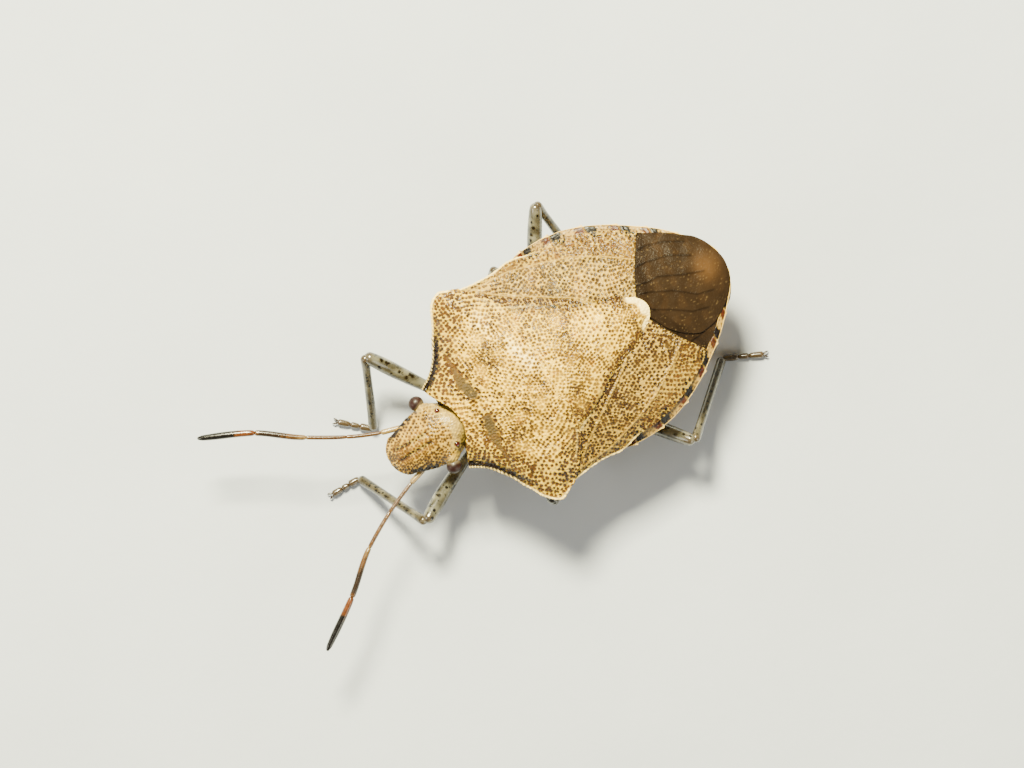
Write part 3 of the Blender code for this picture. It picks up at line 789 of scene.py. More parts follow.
@dataclass(frozen=True)
class BodyForm:
    """Outline and heights of the body, the same as its solids have, in millimetres."""

    half_width: Stations = Stations(
        (2.10, 1.34), (2.68, 1.92), (3.05, 2.44), (3.35, 3.02), (3.62, 3.44), (3.95, 3.66),
        (4.20, 3.56), (4.50, 3.41), (5.57, 3.30), (6.67, 3.44), (7.28, 3.46), (8.04, 3.37),
        (8.70, 3.16), (9.38, 2.83), (10.17, 2.30), (10.70, 1.90), (11.40, 1.20))
    margin: Stations = Stations((2.1, 3.00), (4.0, 3.30), (6.5, 3.10), (12.0, 3.05))
    ridge: Stations = Stations(
        (2.0, 3.45), (2.6, 3.60), (3.5, 4.00), (4.6, 4.40), (5.6, 4.50), (6.6, 4.40),
        (8.0, 4.05), (9.2, 3.75), (10.5, 3.45), (11.5, 3.25), (12.0, 3.12))
    belly_line: Stations = Stations(
        (2.1, 1.90), (3.4, 1.75), (5.0, 1.60), (6.3, 1.50), (8.0, 1.25), (9.2, 1.50),
        (10.5, 2.10), (12.0, 2.60))
    borders: tuple[float, ...] = (4.9, 5.85, 6.8, 7.75, 8.8, 9.75, 10.5, 11.2, 11.9)
    tail_start: float = 11.4
    tail_width: float = 1.20

    def width(self, s: Array) -> Array:
        """Half-width in plan, rounded off at the tail."""
        left = np.clip((BODY_LENGTH - s) / (BODY_LENGTH - self.tail_start), 0.0, 1.0)
        return np.where(s > self.tail_start, self.tail_width * np.sqrt(left),
                        self.half_width(s))

    def share(self, x: Array, s: Array) -> Array:
        """Share of the half-width that x lies at, 1 on the margin."""
        return np.clip(np.abs(x) / np.maximum(self.width(s), 0.05), 0.0, 1.0)

    def back(self, x: Array, s: Array) -> Array:
        """Height of the back."""
        margin = self.margin(s)
        return margin + (self.ridge(s) - margin) * (1 - self.share(x, s) ** 2.3)

    def belly(self, x: Array, s: Array) -> Array:
        """Height of the underside."""
        margin = self.margin(s)
        return margin - (margin - self.belly_line(s)) * (1 - self.share(x, s) ** 2) ** 0.8

    def inward(self, x: Array, s: Array) -> Array:
        """Distance in plan from the body's margin, positive inside it."""
        slope = (self.width(s + 0.02) - self.width(s - 0.02)) / 0.04
        return (self.width(s) - np.abs(x)) / np.sqrt(1 + slope ** 2)

    def segment(self, s: Array) -> Array:
        """Share of its own body segment that each place back lies at.

        Args:
            s: Places back.

        Returns:
            Array: 0 at the segment's front border and 1 at its rear border.
        """
        index = np.clip(np.searchsorted(self.borders, s, side="right") - 1, 0,
                        len(self.borders) - 2)
        edges = np.array(self.borders)
        return np.clip((s - edges[index]) / (edges[index + 1] - edges[index]), 0.0, 1.0)


FORM = BodyForm()


@dataclass(frozen=True)
class Patch:
    """Plan of a four-sided plate, from its four sides; a side of -1 mirrors it.

    Front and rear edges run outward, inner and outer edges run back.
    """

    front: Track
    rear: Track
    inner: Track
    outer: Track
    side: float = 1.0

    def __call__(self, u: Array, v: Array) -> tuple[Array, Array]:
        """Plan points of (u, v).

        Args:
            u: From -1 on the inner edge to 1 on the outer edge.
            v: From 0 on the front edge to 1 on the rear edge.

        Returns:
            tuple: Places across and back.
        """
        corners = [track(end) for track in (self.front, self.rear) for end in (0.0, 1.0)]
        share = (u + 1) / 2
        a, b = share[:, None], v[:, None]
        co = ((1 - b) * self.front(share) + b * self.rear(share)
              + (1 - a) * self.inner(v) + a * self.outer(v)
              - (1 - a) * (1 - b) * corners[0] - a * (1 - b) * corners[1]
              - (1 - a) * b * corners[2] - a * b * corners[3])
        return self.side * co[:, 0], co[:, 1]


# Sub-assemblies

@dataclass(frozen=True)
class Pronotum:
    """Shield behind the head: punctured disc, two smooth scars, beaded cream rim."""

    front: Points = ((-1.40, 2.02), (-1.12, 2.13), (-0.77, 2.31), (-0.36, 2.51), (0.0, 2.57),
                     (0.36, 2.51), (0.77, 2.31), (1.12, 2.13), (1.40, 2.02))
    rear: Points = ((-3.42, 4.52), (-2.75, 5.10), (-2.07, 5.48), (0.0, 5.60), (2.07, 5.48),
                    (2.75, 5.10), (3.42, 4.52))
    side_stations: Sequence[float] = (2.45, 2.85, 3.20, 3.40, 3.60, 3.80, 3.98, 4.12, 4.25)
    scar: Points = ((1.92, 3.14), (1.30, 3.13), (0.75, 3.15), (0.42, 3.27))
    scar_width: Stations = Stations((0.0, 0.05), (0.4, 0.12), (0.75, 0.25), (1.0, 0.19))
    # Line of painted highlight on the rear slope of the disc
    gleam: Points = ((-2.3, 4.5), (-1.78, 4.70), (-1.0, 5.05), (-0.3, 5.31))
    hump: tuple[float, float] = (2.75, 4.35)
    hollow: tuple[float, float] = (1.75, 4.5)
    shoulder: tuple[float, float] = (3.10, 4.40)
    corner: tuple[float, float] = (2.75, 4.78)
    bead: float = 0.15
    rim_run: float = 1.9
    pits: PitField = PitField(11, 0.114, 0.042, 0.03, slope=1.35)
    cells: tuple[int, int] = (400, 200)
    thickness: float = 0.22
    edge: float = 0.026

    def side(self) -> Track:
        """Left side of the shield, run back."""
        return Track([self.front[-1], *((float(FORM.half_width(s)), s)
                                        for s in self.side_stations), self.rear[-1]])

    def plan(self) -> Plan:
        """Plan of the shield."""
        side = self.side()
        right = Track((side(np.linspace(0, 1, 61)) * (-1.0, 1.0)).tolist())
        return Patch(Track(self.front), Track(self.rear), right, side)

    def top(self, x: Array, s: Array) -> Array:
        """Height of the upper face, a little above the wings behind.

        Args:
            x: Places across.
            s: Places back.

        Returns:
            Array: The heights.
        """
        across = np.abs(x)
        hump = 0.10 * bump(np.hypot(across - self.hump[0], (s - self.hump[1]) * 1.2), 0.55)
        hollow = -0.05 * bump(np.hypot((across - self.hollow[0]) * 0.8, s - self.hollow[1]), 0.5)
        brow = -0.12 * fall(2.0, 2.75, s)
        rear = Stations(*((float(a), float(b)) for a, b in self.rear[3:]))(across)
        roll = -0.07 * fall(0.0, 0.45, rear - s)
        return FORM.back(x, s) + 0.15 * ease(3.2, 4.9, s) + hump + hollow + brow + roll

    def marks(self, co: Array, normals: Array) -> Marks:
        """Colours and relief of the shield.

        Args:
            co: Its points.
            normals: Their normals.

        Returns:
            Marks: The value of each mark at each point.
        """
        x, s = co[:, 0], co[:, 1]
        across = np.abs(x)
        up = facing_up(normals)
        inward, down_side = gap_to(across, s, self.side()(np.linspace(0, 1, 50)).tolist())
        behind, _ = gap_to(x, s, Track(self.rear)(np.linspace(0, 1, 25)).tolist())
        scar_gap, run = gap_to(across, s, self.scar)
        wide = self.scar_width(run)
        scar = fall(0.55, 1.15, scar_gap / wide + 0.22 * Waves(7, 0.22)(x, s))
        disc = 1 - scar
        brink = bump(scar_gap - wide * 1.05, 0.055)
        # Painted highlight along this line, laid on the crests only
        gleam = bump(gap_to(x, s, self.gleam)[0], 0.22)
        band = fall(0.40, 0.95, inward + 0.10 * Waves(3, 0.8)(x, s))
        band = band * (1 - 0.5 * ease(3.9, 4.6, s))
        maze = ease(-0.1, 0.5, Waves(5, 0.115, 0.2, 30)(inward * 0.45,
                                                        down_side * self.side().length))
        field, crest = self.pits(x, s)
        pit = np.maximum(field * (1 - 0.5 * band), 0.9 * maze * band)
        pit *= (1 - 0.92 * scar) * ease(0.025, 0.05, inward) * up
        pit *= drifts(x, s, 0.88, (0.16, 25, 0.7), low=0.5, high=1.0)
        front = fall(0.36, 0.66, down_side)
        beads = 0.5 + 0.5 * np.cos(2 * np.pi * s * self.rim_run / self.bead)
        rim = fall(0.012, 0.040, inward) * (1 - front * (0.35 + 0.6 * beads))
        rim = rim * fall(0.90, 0.96, down_side)
        angle = fall(0.10, 0.27, inward + 0.02 * Waves(13, 0.2)(x, s)) * front
        angle = angle * ease(0.005, 0.03, inward + 0.025 * front * beads)
        # Painted shade: a dark line along the rear edge's sides, where the shield overlaps the
        # wings
        seam = bump(behind, 0.035) * ease(2.2, 2.5, across) * fall(3.2, 3.4, across)
        # Painted highlight: a pale line where the rear edge rolls over; the lip is also raised a
        # little
        lip = bump(behind - 0.07, 0.03) * ease(2.0, 2.1, across) * fall(2.5, 3.2, across)
        blots = ease(1.1, 1.7, Waves(17, 0.75)(x, s))
        dark = ease(0.8, 1.6, Waves(19, 0.42)(x, s))
        clouds = drifts(x, s, 0.24, (0.27, 23, 1.5), (0.20, 24, 0.55))
        # Painted shade: the left half, away from the light, is painted darker and redder
        left = ease(0.0, 1.0, x / 2.5) * ease(2.6, 4.2, s)
        relief = (-0.024 * pit + 0.008 * crest * disc
                  + 0.020 * bump(inward, 0.035) * (1 + 0.8 * front * (beads - 0.5))
                  - 0.018 * bump(inward - 0.11, 0.05) - 0.025 * scar - 0.015 * brink
                  + 0.012 * lip + 0.006 * Waves(29, 0.10)(x, s)
                  + 0.010 * Waves(30, 0.8)(x, s)) * up
        return {
            "relief": relief,
            "moss": scar * (0.92 + 0.08 * run),
            "rust": (0.50 * band + 0.35 * blots + 0.10 * left + 0.16 * fall(2.9, 3.7, s)
                     + 0.20 * fall(2.5, 2.9, s)) * disc * up,
            # Besides its own clouds, this paints shade on the left half and along the rear edge
            "stain": (1 - 0.8 * scar) * clouds + 0.30 * dark + 0.9 * brink + 0.24 * left
            + 0.6 * seam + (0.84 - 0.16 * left) * band * disc + 0.20 * fall(0.3, 1.3, inward)
            + 0.40 * bump(scar_gap, 0.26) * disc + 0.45 * spot(across, s, self.corner, 0.36)
            + 0.16 * fall(2.9, 3.7, s) * disc,
            "pit": pit * (1.0 + 0.3 * dark),
            "dusk": np.maximum(angle * (0.95 + 0.2 * maze),
                               spot(across, s, self.shoulder, 0.32) * (0.25 + 0.6 * field))
            + 0.30 * brink,
            # Painted highlight: pale crests between the punctures, where they glint
            "cream": 0.6 * crest * disc * (1 - angle) * up,
            # Ivory: the real cream rim, plus painted highlights on the rear lip and the gleam line
            "ivory": np.maximum(rim, np.maximum(0.2 * lip, 0.7 * gleam * crest)) * up
            + 0.85 * (1 - up) * fall(0.02, 0.06, inward),
        }

    def build(self) -> None:
        """Make and dress the shield."""
        mesh = plate(self.plan(), self.top, self.cells, self.thickness, self.edge)
        dress("pronotum_shield", mesh, BACK_CUTICLE, ("pronotum",), self.marks)


@dataclass(frozen=True)
class Scutellum:
    """Triangle between the wings, with an ivory tip."""

    half_width: Stations = Stations((5.20, 2.20), (5.48, 2.07), (6.40, 1.68), (7.30, 1.16),
                                    (8.50, 0.70), (8.96, 0.42))
    front: float = 5.30
    taper_end: float = 8.96
    tip: float = 9.20
    pits: PitField = PitField(37, 0.112, 0.041, 0.03, slope=1.35)
    cells: tuple[int, int] = (240, 235)
    thickness: float = 0.20
    edge: float = 0.03

    def plan(self, u: Array, v: Array) -> tuple[Array, Array]:
        """Plan points of (u, v).

        Args:
            u: From -1 on its right side to 1 on its left.
            v: From 0 on its front edge to 1 at its tip.

        Returns:
            tuple: Places across and back.
        """
        x = u * self.half_width(self.front + v * (self.taper_end - self.front))
        last = self.tip - (self.tip - self.taper_end) * u * u
        return x, self.front + v * (last - self.front)

    def top(self, x: Array, s: Array) -> Array:
        """Height of the upper face, domed at its base and ridged toward the tip.

        Args:
            x: Places across.
            s: Places back.

        Returns:
            Array: The heights.
        """
        v = np.clip((s - self.front) / (self.tip - self.front), 0.0, 1.0)
        u = np.clip(np.abs(x) / self.half_width(s), 0.0, 1.0)
        return (FORM.back(x, s) + 0.03 + 0.20 * (1 - u * u) * np.sin(np.pi * v) ** 0.8
                + 0.05 * bump(u, 0.5) * ease(7.0, 8.3, s))

    def marks(self, co: Array, normals: Array) -> Marks:
        """Colours and relief of the triangle.

        Args:
            co: Its points.
            normals: Their normals.

        Returns:
            Marks: The value of each mark at each point.
        """
        x, s = co[:, 0], co[:, 1]
        up = facing_up(normals)
        half = self.half_width(s)
        side = np.minimum(half - np.abs(x), (self.tip - s) + 0.02)
        band = 0.13 - 0.06 * ease(-0.1, 0.3, x)
        tip = np.maximum(ease(8.66, 8.82, s) * fall(band, band + 0.09, side),
                         ease(8.94, 9.04, s + 0.04 * Waves(31, 0.3)(x, s)))
        horn = 1 - tip
        field, crest = self.pits(x, s)
        pit = field * horn * ease(0.01, 0.04, side) * up
        pit *= drifts(x, s, 0.86, (0.16, 39, 0.7), low=0.5, high=1.0)
        blots = ease(1.0, 1.6, Waves(41, 0.6)(x, s))
        dark = ease(0.8, 1.6, Waves(43, 0.35)(x, s))
        edge = fall(0.0, 0.30, side)
        wing_side = edge * ease(6.0, 6.6, s) * fall(8.2, 8.7, s)
        clouds = drifts(x, s, 0.25, (0.25, 53, 1.3), (0.20, 54, 0.5))
        relief = (-0.020 * pit + 0.006 * crest + 0.005 * Waves(47, 0.10)(x, s)
                  + 0.008 * Waves(48, 0.7)(x, s)) * up
        return {
            "relief": relief,
            "rust": 0.40 * blots + 0.12,
            # Painted shade: darker along the edges against the wings, and on the left half, away
            # from the light
            "stain": clouds + 0.3 * dark * edge + 0.25 * wing_side
            + 0.18 * ease(0.0, 1.1, x / np.maximum(half, 0.3)) * horn
            + edge * (0.50 + 0.14 * ease(-0.2, 0.2, x)) * horn,
            "pit": pit,
            # Painted shade: the thin dark line along the edge; the marks at the wing sides are its
            # own
            "dusk": wing_side * dark * 0.65 * (0.35 + 0.65 * field)
            + 0.75 * bump(side, 0.045) * horn,
            # Painted highlight: pale crests between the punctures, where they glint
            "cream": 0.6 * crest * (1 - 0.6 * edge),
            "ivory": tip,
        }

    def build(self) -> None:
        """Make and dress the triangle."""
        mesh = plate(self.plan, self.top, self.cells, self.thickness, self.edge)
        dress("scutellum_shield", mesh, SCUTELLUM_CUTICLE, ("scutellum",), self.marks)


@dataclass(frozen=True)
class ForeWings:
    """Two fore wings: a leathery front part each, the corium, and a membrane behind it."""

    strip: float = 0.25
    inner: Points = ((1.85, 5.15), (1.55, 6.40), (1.02, 7.30), (0.55, 8.50), (0.30, 8.98))
    rear: Points = ((0.30, 8.98), (0.50, 9.07), (1.25, 9.50), (1.87, 9.92))
    vein_line: Points = ((3.19, 4.79), (3.11, 6.06), (2.77, 7.21), (2.49, 7.96), (1.95, 8.90),
                         (1.42, 9.58))
    claval_line: Points = ((2.97, 5.02), (2.50, 5.60), (2.12, 6.18), (1.74, 6.75), (1.40, 7.29),
                           (0.90, 7.95))
    streak: Points = ((2.32, 5.26), (2.02, 5.77), (1.80, 6.30))
    red_spots: Points = ((2.82, 7.44), (3.12, 5.60), (2.33, 8.87), (2.75, 8.25), (2.1, 9.3))
    notch: tuple[float, float] = (2.10, 5.50)
    membrane_veins: tuple[Points, ...] = (
        ((1.19, 9.55), (1.17, 9.84), (1.00, 10.55), (0.63, 11.16)),
        ((0.70, 9.25), (0.62, 9.58), (0.60, 9.95), (0.24, 10.68), (0.02, 11.25)),
        ((0.42, 9.20), (0.32, 9.49), (-0.03, 10.16), (-0.49, 10.71), (-0.62, 11.2)),
        ((0.10, 9.15), (-0.16, 9.25), (-0.50, 9.81), (-0.86, 10.31), (-1.0, 10.8)),
        ((1.62, 9.80), (1.60, 10.10), (1.42, 10.65), (1.10, 11.2)))
    overlap: Points = ((-0.32, 9.10), (-0.95, 9.43), (-1.37, 9.88), (-1.54, 10.25),
                       (-1.50, 10.64), (-1.35, 11.02))
    tail: Points = ((-0.95, 11.55), (-0.50, 11.86), (0.0, 11.96), (0.55, 11.84), (1.05, 11.56))
    outer_spot: tuple[float, float] = (1.75, 10.35)
    pits: PitField = PitField(59, 0.114, 0.040, 0.03, slope=1.45)
    corium_cells: tuple[int, int] = (150, 330)
    corium_thickness: float = 0.12
    membrane_cells: tuple[int, int] = (130, 100)
    membrane_thickness: float = 0.03

    def margin(self, s: float) -> float:
        """Half-width of the wings, drawn in where the abdomen's rim shows."""
        shown = float(ease(6.1, 7.1, np.array(s)) * (1 - 0.9 * ease(10.2, 11.4, np.array(s))))
        return float(FORM.width(np.array(s))) - self.strip * shown - 0.01

    def corium_plan(self, side: float) -> Plan:
        """Plan of the leathery part of one wing, tucked under its neighbours.

        Args:
            side: 1 for the left wing and -1 for the right.

        Returns:
            Plan: The plan.
        """
        outer = [(self.margin(s), s) for s in np.linspace(4.25, 10.08, 22).tolist()]
        outer[0] = (outer[0][0] - 0.06, outer[0][1])
        front = [self.inner[0], (2.60, 4.85), outer[0]]
        return Patch(Track(front), Track([*self.rear[:-1], outer[-1]]), Track(self.inner),
                     Track(outer), side)

    def corium_top(self, x: Array, s: Array) -> Array:
        """Height of the leathery part, dished between its veins.

        Args:
            x: Places across.
            s: Places back.

        Returns:
            Array: The heights.
        """
        across = np.abs(x)
        vein, _ = gap_to(across, s, self.vein_line)
        dish = -0.05 * bump(across - 1.9, 0.5) * ease(5.5, 6.5, s) * fall(8.6, 9.6, s)
        return FORM.back(x, s) + 0.02 + 0.03 * bump(vein, 0.12) + dish

    def tucked(self, x: Array, s: Array) -> Array:
        """Shade beside the pronotum and the scutellum, 1 against them.

        Args:
            x: Places across.
            s: Places back.

        Returns:
            Array: The shade.
        """
        front = Track(Pronotum().rear)(np.linspace(0, 1, 25)).tolist()
        beside = bump(np.abs(x) - Scutellum().half_width(s) - 0.02, 0.07)
        return np.maximum(bump(gap_to(x, s, front)[0], 0.09), ease(5.6, 6.0, s) * beside)

    def corium_marks(self, co: Array, normals: Array) -> Marks:
        """Colours and relief of the leathery part.

        Args:
            co: Its points.
            normals: Their normals.

        Returns:
            Marks: The value of each mark at each point.
        """
        x, s = co[:, 0], co[:, 1]
        across = np.abs(x)
        up = facing_up(normals)
        places = np.linspace(4.0, 11.0, 141)
        inward = np.interp(s, places, np.array([self.margin(v) for v in places])) - across
        vein, _ = gap_to(across, s, self.vein_line)
        rear, _ = gap_to(across, s, (*self.rear[:-1], (2.2, 10.08)))
        line, suture = np.array(self.vein_line), np.array(self.claval_line)
        outside = ease(-0.06, 0.10, across - np.interp(s, line[:, 1], line[:, 0]))
        within = np.interp(s, suture[:, 1], suture[:, 0]) - across
        long = ease(4.95, 5.15, s) * fall(7.7, 7.95, s)
        clavus = ease(-0.02, 0.05, within) * fall(6.2, 7.4, s)
        streak, streak_run = gap_to(across, s, self.streak)
        streak = bump(streak, 0.035) * (1 - 0.7 * streak_run)
        field, crest = self.pits(x, s)
        maze = ease(-0.1, 0.6, Waves(67, 0.135, 0.25, 30)(x, s))
        ribs = np.maximum(bump(vein, 0.026), 0.9 * bump(within + 0.055, 0.036) * long)
        costal = fall(0.005, 0.03, inward) * fall(6.6, 7.2, s)
        pit = np.maximum(field * (1 - 0.8 * outside), 0.85 * maze * outside)
        pit *= (1 - ribs) * (1 - costal) * (1 - streak) * up
        pit *= drifts(x, s, 0.86, (0.14, 61, 0.6), low=0.5, high=1.0)
        red = sum(spot(across, s, place, 0.16) for place in self.red_spots)
        patches = ease(0.7, 1.5, Waves(71, 0.45)(x, s))
        dark = ease(0.3, 1.3, Waves(79, 0.3)(x, s)) * fall(0.12, 0.40, inward)
        f = FORM.segment(s)
        block = ease(-0.05, 0.05, f) * fall(0.32, 0.45, f) * ease(6.2, 6.8, s)
        block = block * fall(0.06, 0.26, inward + 0.04 * Waves(81, 0.15)(x, s))
        relief = (-0.018 * pit + 0.006 * crest + 0.014 * ribs + 0.02 * streak
                  - 0.018 * bump(within - 0.015, 0.03) * long + 0.012 * bump(inward, 0.03)
                  + 0.006 * Waves(83, 0.09)(x, s)) * up
        waist = bump(np.hypot((across - 1.95) / 0.6, (s - 7.3) / 1.1), 1.0)
        return {
            "relief": relief,
            "moss": (1 - outside) * (1 - clavus) * drifts(x, s, 0.34, (0.2, 73, 1.4), high=0.7),
            "rust": 0.25 * outside * maze + 0.5 * red * patches
            + 0.45 * clavus * ease(-1.0, 0.8, Waves(87, 0.3)(x, s)) + 0.15 * patches + 0.04,
            # Painted shade: darker on the left wing, away from the light, and beside the pronotum
            # and scutellum
            "stain": drifts(x, s, 0.27, (0.16, 73, 1.4), (0.15, 74, 0.5))
            + 0.44 * ease(-0.2, 0.2, x) + 0.6 * self.tucked(x, s)
            + 0.60 * ease(-0.02, 0.06, within) * fall(7.3, 8.2, s)
            - 0.15 * waist + 1.0 * bump(within - 0.03, 0.045) * long,
            "pit": pit,
            # Painted shadow: the dark spot in the notch by the scutellum's front corner
            "dusk": np.maximum(dark * 0.7 * (0.3 + 0.7 * maze), block * (0.8 + 0.3 * maze))
            + 0.6 * bump(rear, 0.022) + 0.85 * spot(across, s, self.notch, 0.06)
            + 0.5 * fall(0.03, 0.16, inward) * (1 - costal) * fall(5.0, 6.2, s),
            # Painted highlight on the crests between the punctures; the pale veins are their own
            # colour
            "cream": np.maximum(0.45 * crest, 0.30 * ribs),
            "ivory": np.maximum(costal * 0.95, 0.4 * streak),
        }

    def membrane_plan(self, side: float) -> Plan:
        """Plan of one membrane, from under the leathery part to the tail.

        Args:
            side: 1 for the left wing and -1 for the right.

        Returns:
            Plan: The plan.
        """
        outer = [(self.margin(s) - 0.015, s) for s in np.linspace(9.90, 11.15, 6).tolist()]
        front = [self.overlap[0], (0.30, 8.95), (0.95, 9.15), outer[0]]
        rear = [self.overlap[-1], *self.tail, outer[-1]]
        return Patch(Track(front), Track(rear), Track(self.overlap), Track(outer), side)

    def membrane_marks(self, side: float, co: Array, normals: Array) -> Marks:
        """Colours and relief of one membrane.

        Args:
            side: 1 for the left wing and -1 for the right.
            co: Its points.
            normals: Their normals.

        Returns:
            Marks: The value of each mark at each point.
        """
        x, s = co[:, 0] * side, co[:, 1]
        veins = np.zeros_like(x)
        for line in self.membrane_veins:
            veins = np.maximum(veins, bump(gap_to(x, s, line)[0], 0.030))
        glow = bump(np.hypot((x - 0.10) / 1.2, s - 11.38), 0.36)
        patches = ease(0.3, 1.4, Waves(89, 0.5)(x, s))
        crinkle = Waves(97, 0.10, 0.5, 30)(x, s)
        flecks = 0.09 * ease(1.2, 2.4, crinkle) * (1 - veins) * ease(
            -1.0, 1.0, Waves(99, 0.4)(x, s))
        return {
            "relief": (0.010 * veins + 0.0013 * crinkle + 0.003 * Waves(101, 0.5)(x, s))
            * facing_up(normals),
            "rust": 0.34 * glow + 0.07 * patches * (0.5 + spot(x, s, self.outer_spot, 0.35))
            + 0.05,
            # Painted shadow: the dark band along the front edge, where the scutellum and the wings
            # overlap it
            "vein": 0.55 * veins + 0.3 * fall(0.0, 0.12, s - 9.2 - 0.5 * np.abs(x)),
            # Painted highlights: faint sparks on the crinkles
            "cream": flecks,
        }

    @staticmethod
    def membrane_top(side: float, x: Array, s: Array) -> Array:
        """Height of one membrane; the right one lies over the left."""
        return FORM.back(x, s) + (-0.035 if side < 0 else -0.085)

    def build(self) -> None:
        """Make and dress both wings."""
        for name, side in SIDES.items():
            mesh = plate(self.corium_plan(side), self.corium_top, self.corium_cells,
                         self.corium_thickness, edge=0.018)
            dress(f"corium_{name}_plate", mesh, WING_CUTICLE, (f"corium_{name}",),
                  self.corium_marks)
            mesh = plate(self.membrane_plan(side), partial(self.membrane_top, side),
                         self.membrane_cells, self.membrane_thickness, edge=0.012, turns=2)
            dress(f"membrane_{name}_film", mesh, WING_MEMBRANE,
                  (f"membrane_{name}",), partial(self.membrane_marks, side))


@dataclass(frozen=True)
class Trunk:
    """Skin of the thorax and abdomen: chequered rim, ringed belly, plates of the sides."""

    start: float = 2.20
    end: float = 11.95
    grooves: tuple[Points, ...] = (
        ((0.9, 3.75), (3.3, 3.95)), ((1.0, 5.35), (3.2, 5.45)), ((1.2, 6.35), (3.3, 6.15)),
        ((0.9, 2.6), (2.3, 3.3), (3.3, 3.8)))
    scent_pore: Points = ((1.75, 5.62), (2.35, 5.55))
    spiracle: tuple[float, float] = (0.62, 0.42)
    around: int = 260
    along: int = 330

    def width(self, s: Array) -> Array:
        """Half-width, drawn in under the wings and toothed at each segment of the rim.

        Args:
            s: Places back.

        Returns:
            Array: The half-widths.
        """
        shown = ease(6.0, 6.8, s)
        f = FORM.segment(s)
        tooth = 0.075 * np.exp(-(1 - f) / 0.10) * shown * fall(11.1, 11.5, s)
        return FORM.width(s) - 0.08 * (1 - shown) - 0.015 + tooth

    def surface(self, turn: Array, v: Array) -> Array:
        """Points of the skin.

        Args:
            turn: Angles round it.
            v: Places along it, 0 to 1.

        Returns:
            Array: The points.
        """
        share, between = capped(v, self.along)
        s = self.start + (self.end - self.start) * (share - 0.12 * np.sin(2 * np.pi * share)
                                                    / (2 * np.pi))
        s = s + 0.50 * (1 - np.abs(np.cos(turn)) ** 1.6) * (1 - share) ** 14
        wide = self.width(s)
        x = wide * np.cos(turn)
        inside = ease(0.24, 0.36, wide - np.abs(x))
        shown = ease(6.2, 7.0, s) * fall(11.2, 11.6, s)
        deep = 0.20 + 0.06 * fall(2.2, 4.0, s)
        margin = FORM.margin(s) - 0.05
        scale = FORM.width(s) / np.maximum(wide, 0.02)
        top = FORM.back(x * scale, s) - deep + (deep - 0.06) * shown * (1 - inside)
        low = FORM.belly(x * scale, s)
        z = section(turn, margin, np.maximum(top, margin), np.minimum(low, margin), 0.10)
        middle = (FORM.ridge(s) + FORM.belly_line(s)) / 2
        return np.stack((np.where(between, x, 0.0), s, np.where(between, z, middle)), axis=1)

    def marks(self, co: Array, normals: Array) -> Marks:
        """Colours and relief of the skin.

        Args:
            co: Its points.
            normals: Their normals.

        Returns:
            Marks: The value of each mark at each point.
        """
        x, s = co[:, 0], co[:, 1]
        across = np.abs(x)
        f = FORM.segment(s)
        inward = FORM.inward(x, s)
        below = fall(-0.1, 0.1, normals[:, 2])
        above = 1 - below
        rim = ease(6.2, 6.7, s) * fall(0.30, 0.36, inward)
        ragged = 0.05 * Waves(103, 0.12)(x, s)
        black = ease(-0.02, 0.03, f) * fall(0.30, 0.38, f + ragged)
        red = ease(0.66, 0.74, f + ragged) * fall(0.95, 1.0, f)
        border = np.minimum(f, 1 - f)
        thin = fall(0.020, 0.042, inward)
        field, _ = PitField(107, 0.17, 0.034, 0.25)(x, s)
        flecks, _ = PitField(109, 0.10, 0.036, 0.10)(x, s)
        groove = bump(border, 0.035) * ease(6.2, 6.6, s)
        pleura = np.zeros_like(x)
        for line in self.grooves:
            pleura = np.maximum(pleura, bump(gap_to(across, s, line)[0], 0.035))
        ear = bump(gap_to(across, s, self.scent_pore)[0], 0.07)
        matt = bump(np.hypot((across - 2.3) / 1.4, s - 5.75), 0.35)
        spiracle = bump(np.hypot(across - (FORM.width(s) - self.spiracle[0]),
                                 (f - self.spiracle[1]) * 0.95), 0.045)
        spiracle = spiracle * ease(6.8, 6.9, s)
        specks = ease(1.3, 1.9, Waves(109, 0.25)(x, s))
        relief = (below * (-0.028 * groove + 0.018 * (f - 0.5) * ease(6.6, 6.9, s)
                           - 0.03 * pleura * fall(6.3, 6.6, s) + 0.04 * ear
                           - 0.012 * field - 0.03 * spiracle)
                  + 0.012 * rim * above * bump(inward - 0.05, 0.05)
                  - 0.02 * rim * bump(border, 0.03) + 0.004 * Waves(113, 0.1)(x, s))
        dusk = 1.1 * rim * black * (0.92 + 0.08 * flecks) * (1 - 0.3 * below) * (1 - 0.9 * thin)
        return {
            "relief": relief,
            "moss": 0.35 * below * ease(-0.3, 1.2, Waves(127, 0.9)(x, s)) + 0.4 * matt * below,
            "rust": 1.1 * rim * red * (1 - 0.2 * below) * (1 - thin) + below * 0.5 * specks,
            "stain": 0.12 + 0.10 * Waves(131, 1.1)(x, s) + 0.3 * pleura * below
            + 0.35 * rim * above * (1 - red) * (1 - thin) + 0.4 * groove * below,
            "pit": np.maximum(field * 0.6 * below, spiracle * below)
            + 0.7 * flecks * rim * above * (1 - thin),
            # Painted shade: the black band at the front, in the gap between the head and the
            # pronotum
            "dusk": np.maximum(np.maximum(dusk, 0.5 * rim * bump(border, 0.02)),
                               0.95 * above * fall(3.0, 3.4, s)),
            "cream": rim * above * np.maximum(thin * 0.9, 0.2 * (1 - black) * (1 - red)
                                              * (1 - flecks))
            + 0.5 * rim * below * (1 - black),
        }

    def build(self) -> None:
        """Make and dress the skin."""
        mesh = bmesh.new()
        wrap(mesh, self.surface, self.around, self.along)
        dress("thorax_and_abdomen_skin", mesh, BELLY_CUTICLE, ("thorax", "abdomen"),
              self.marks)


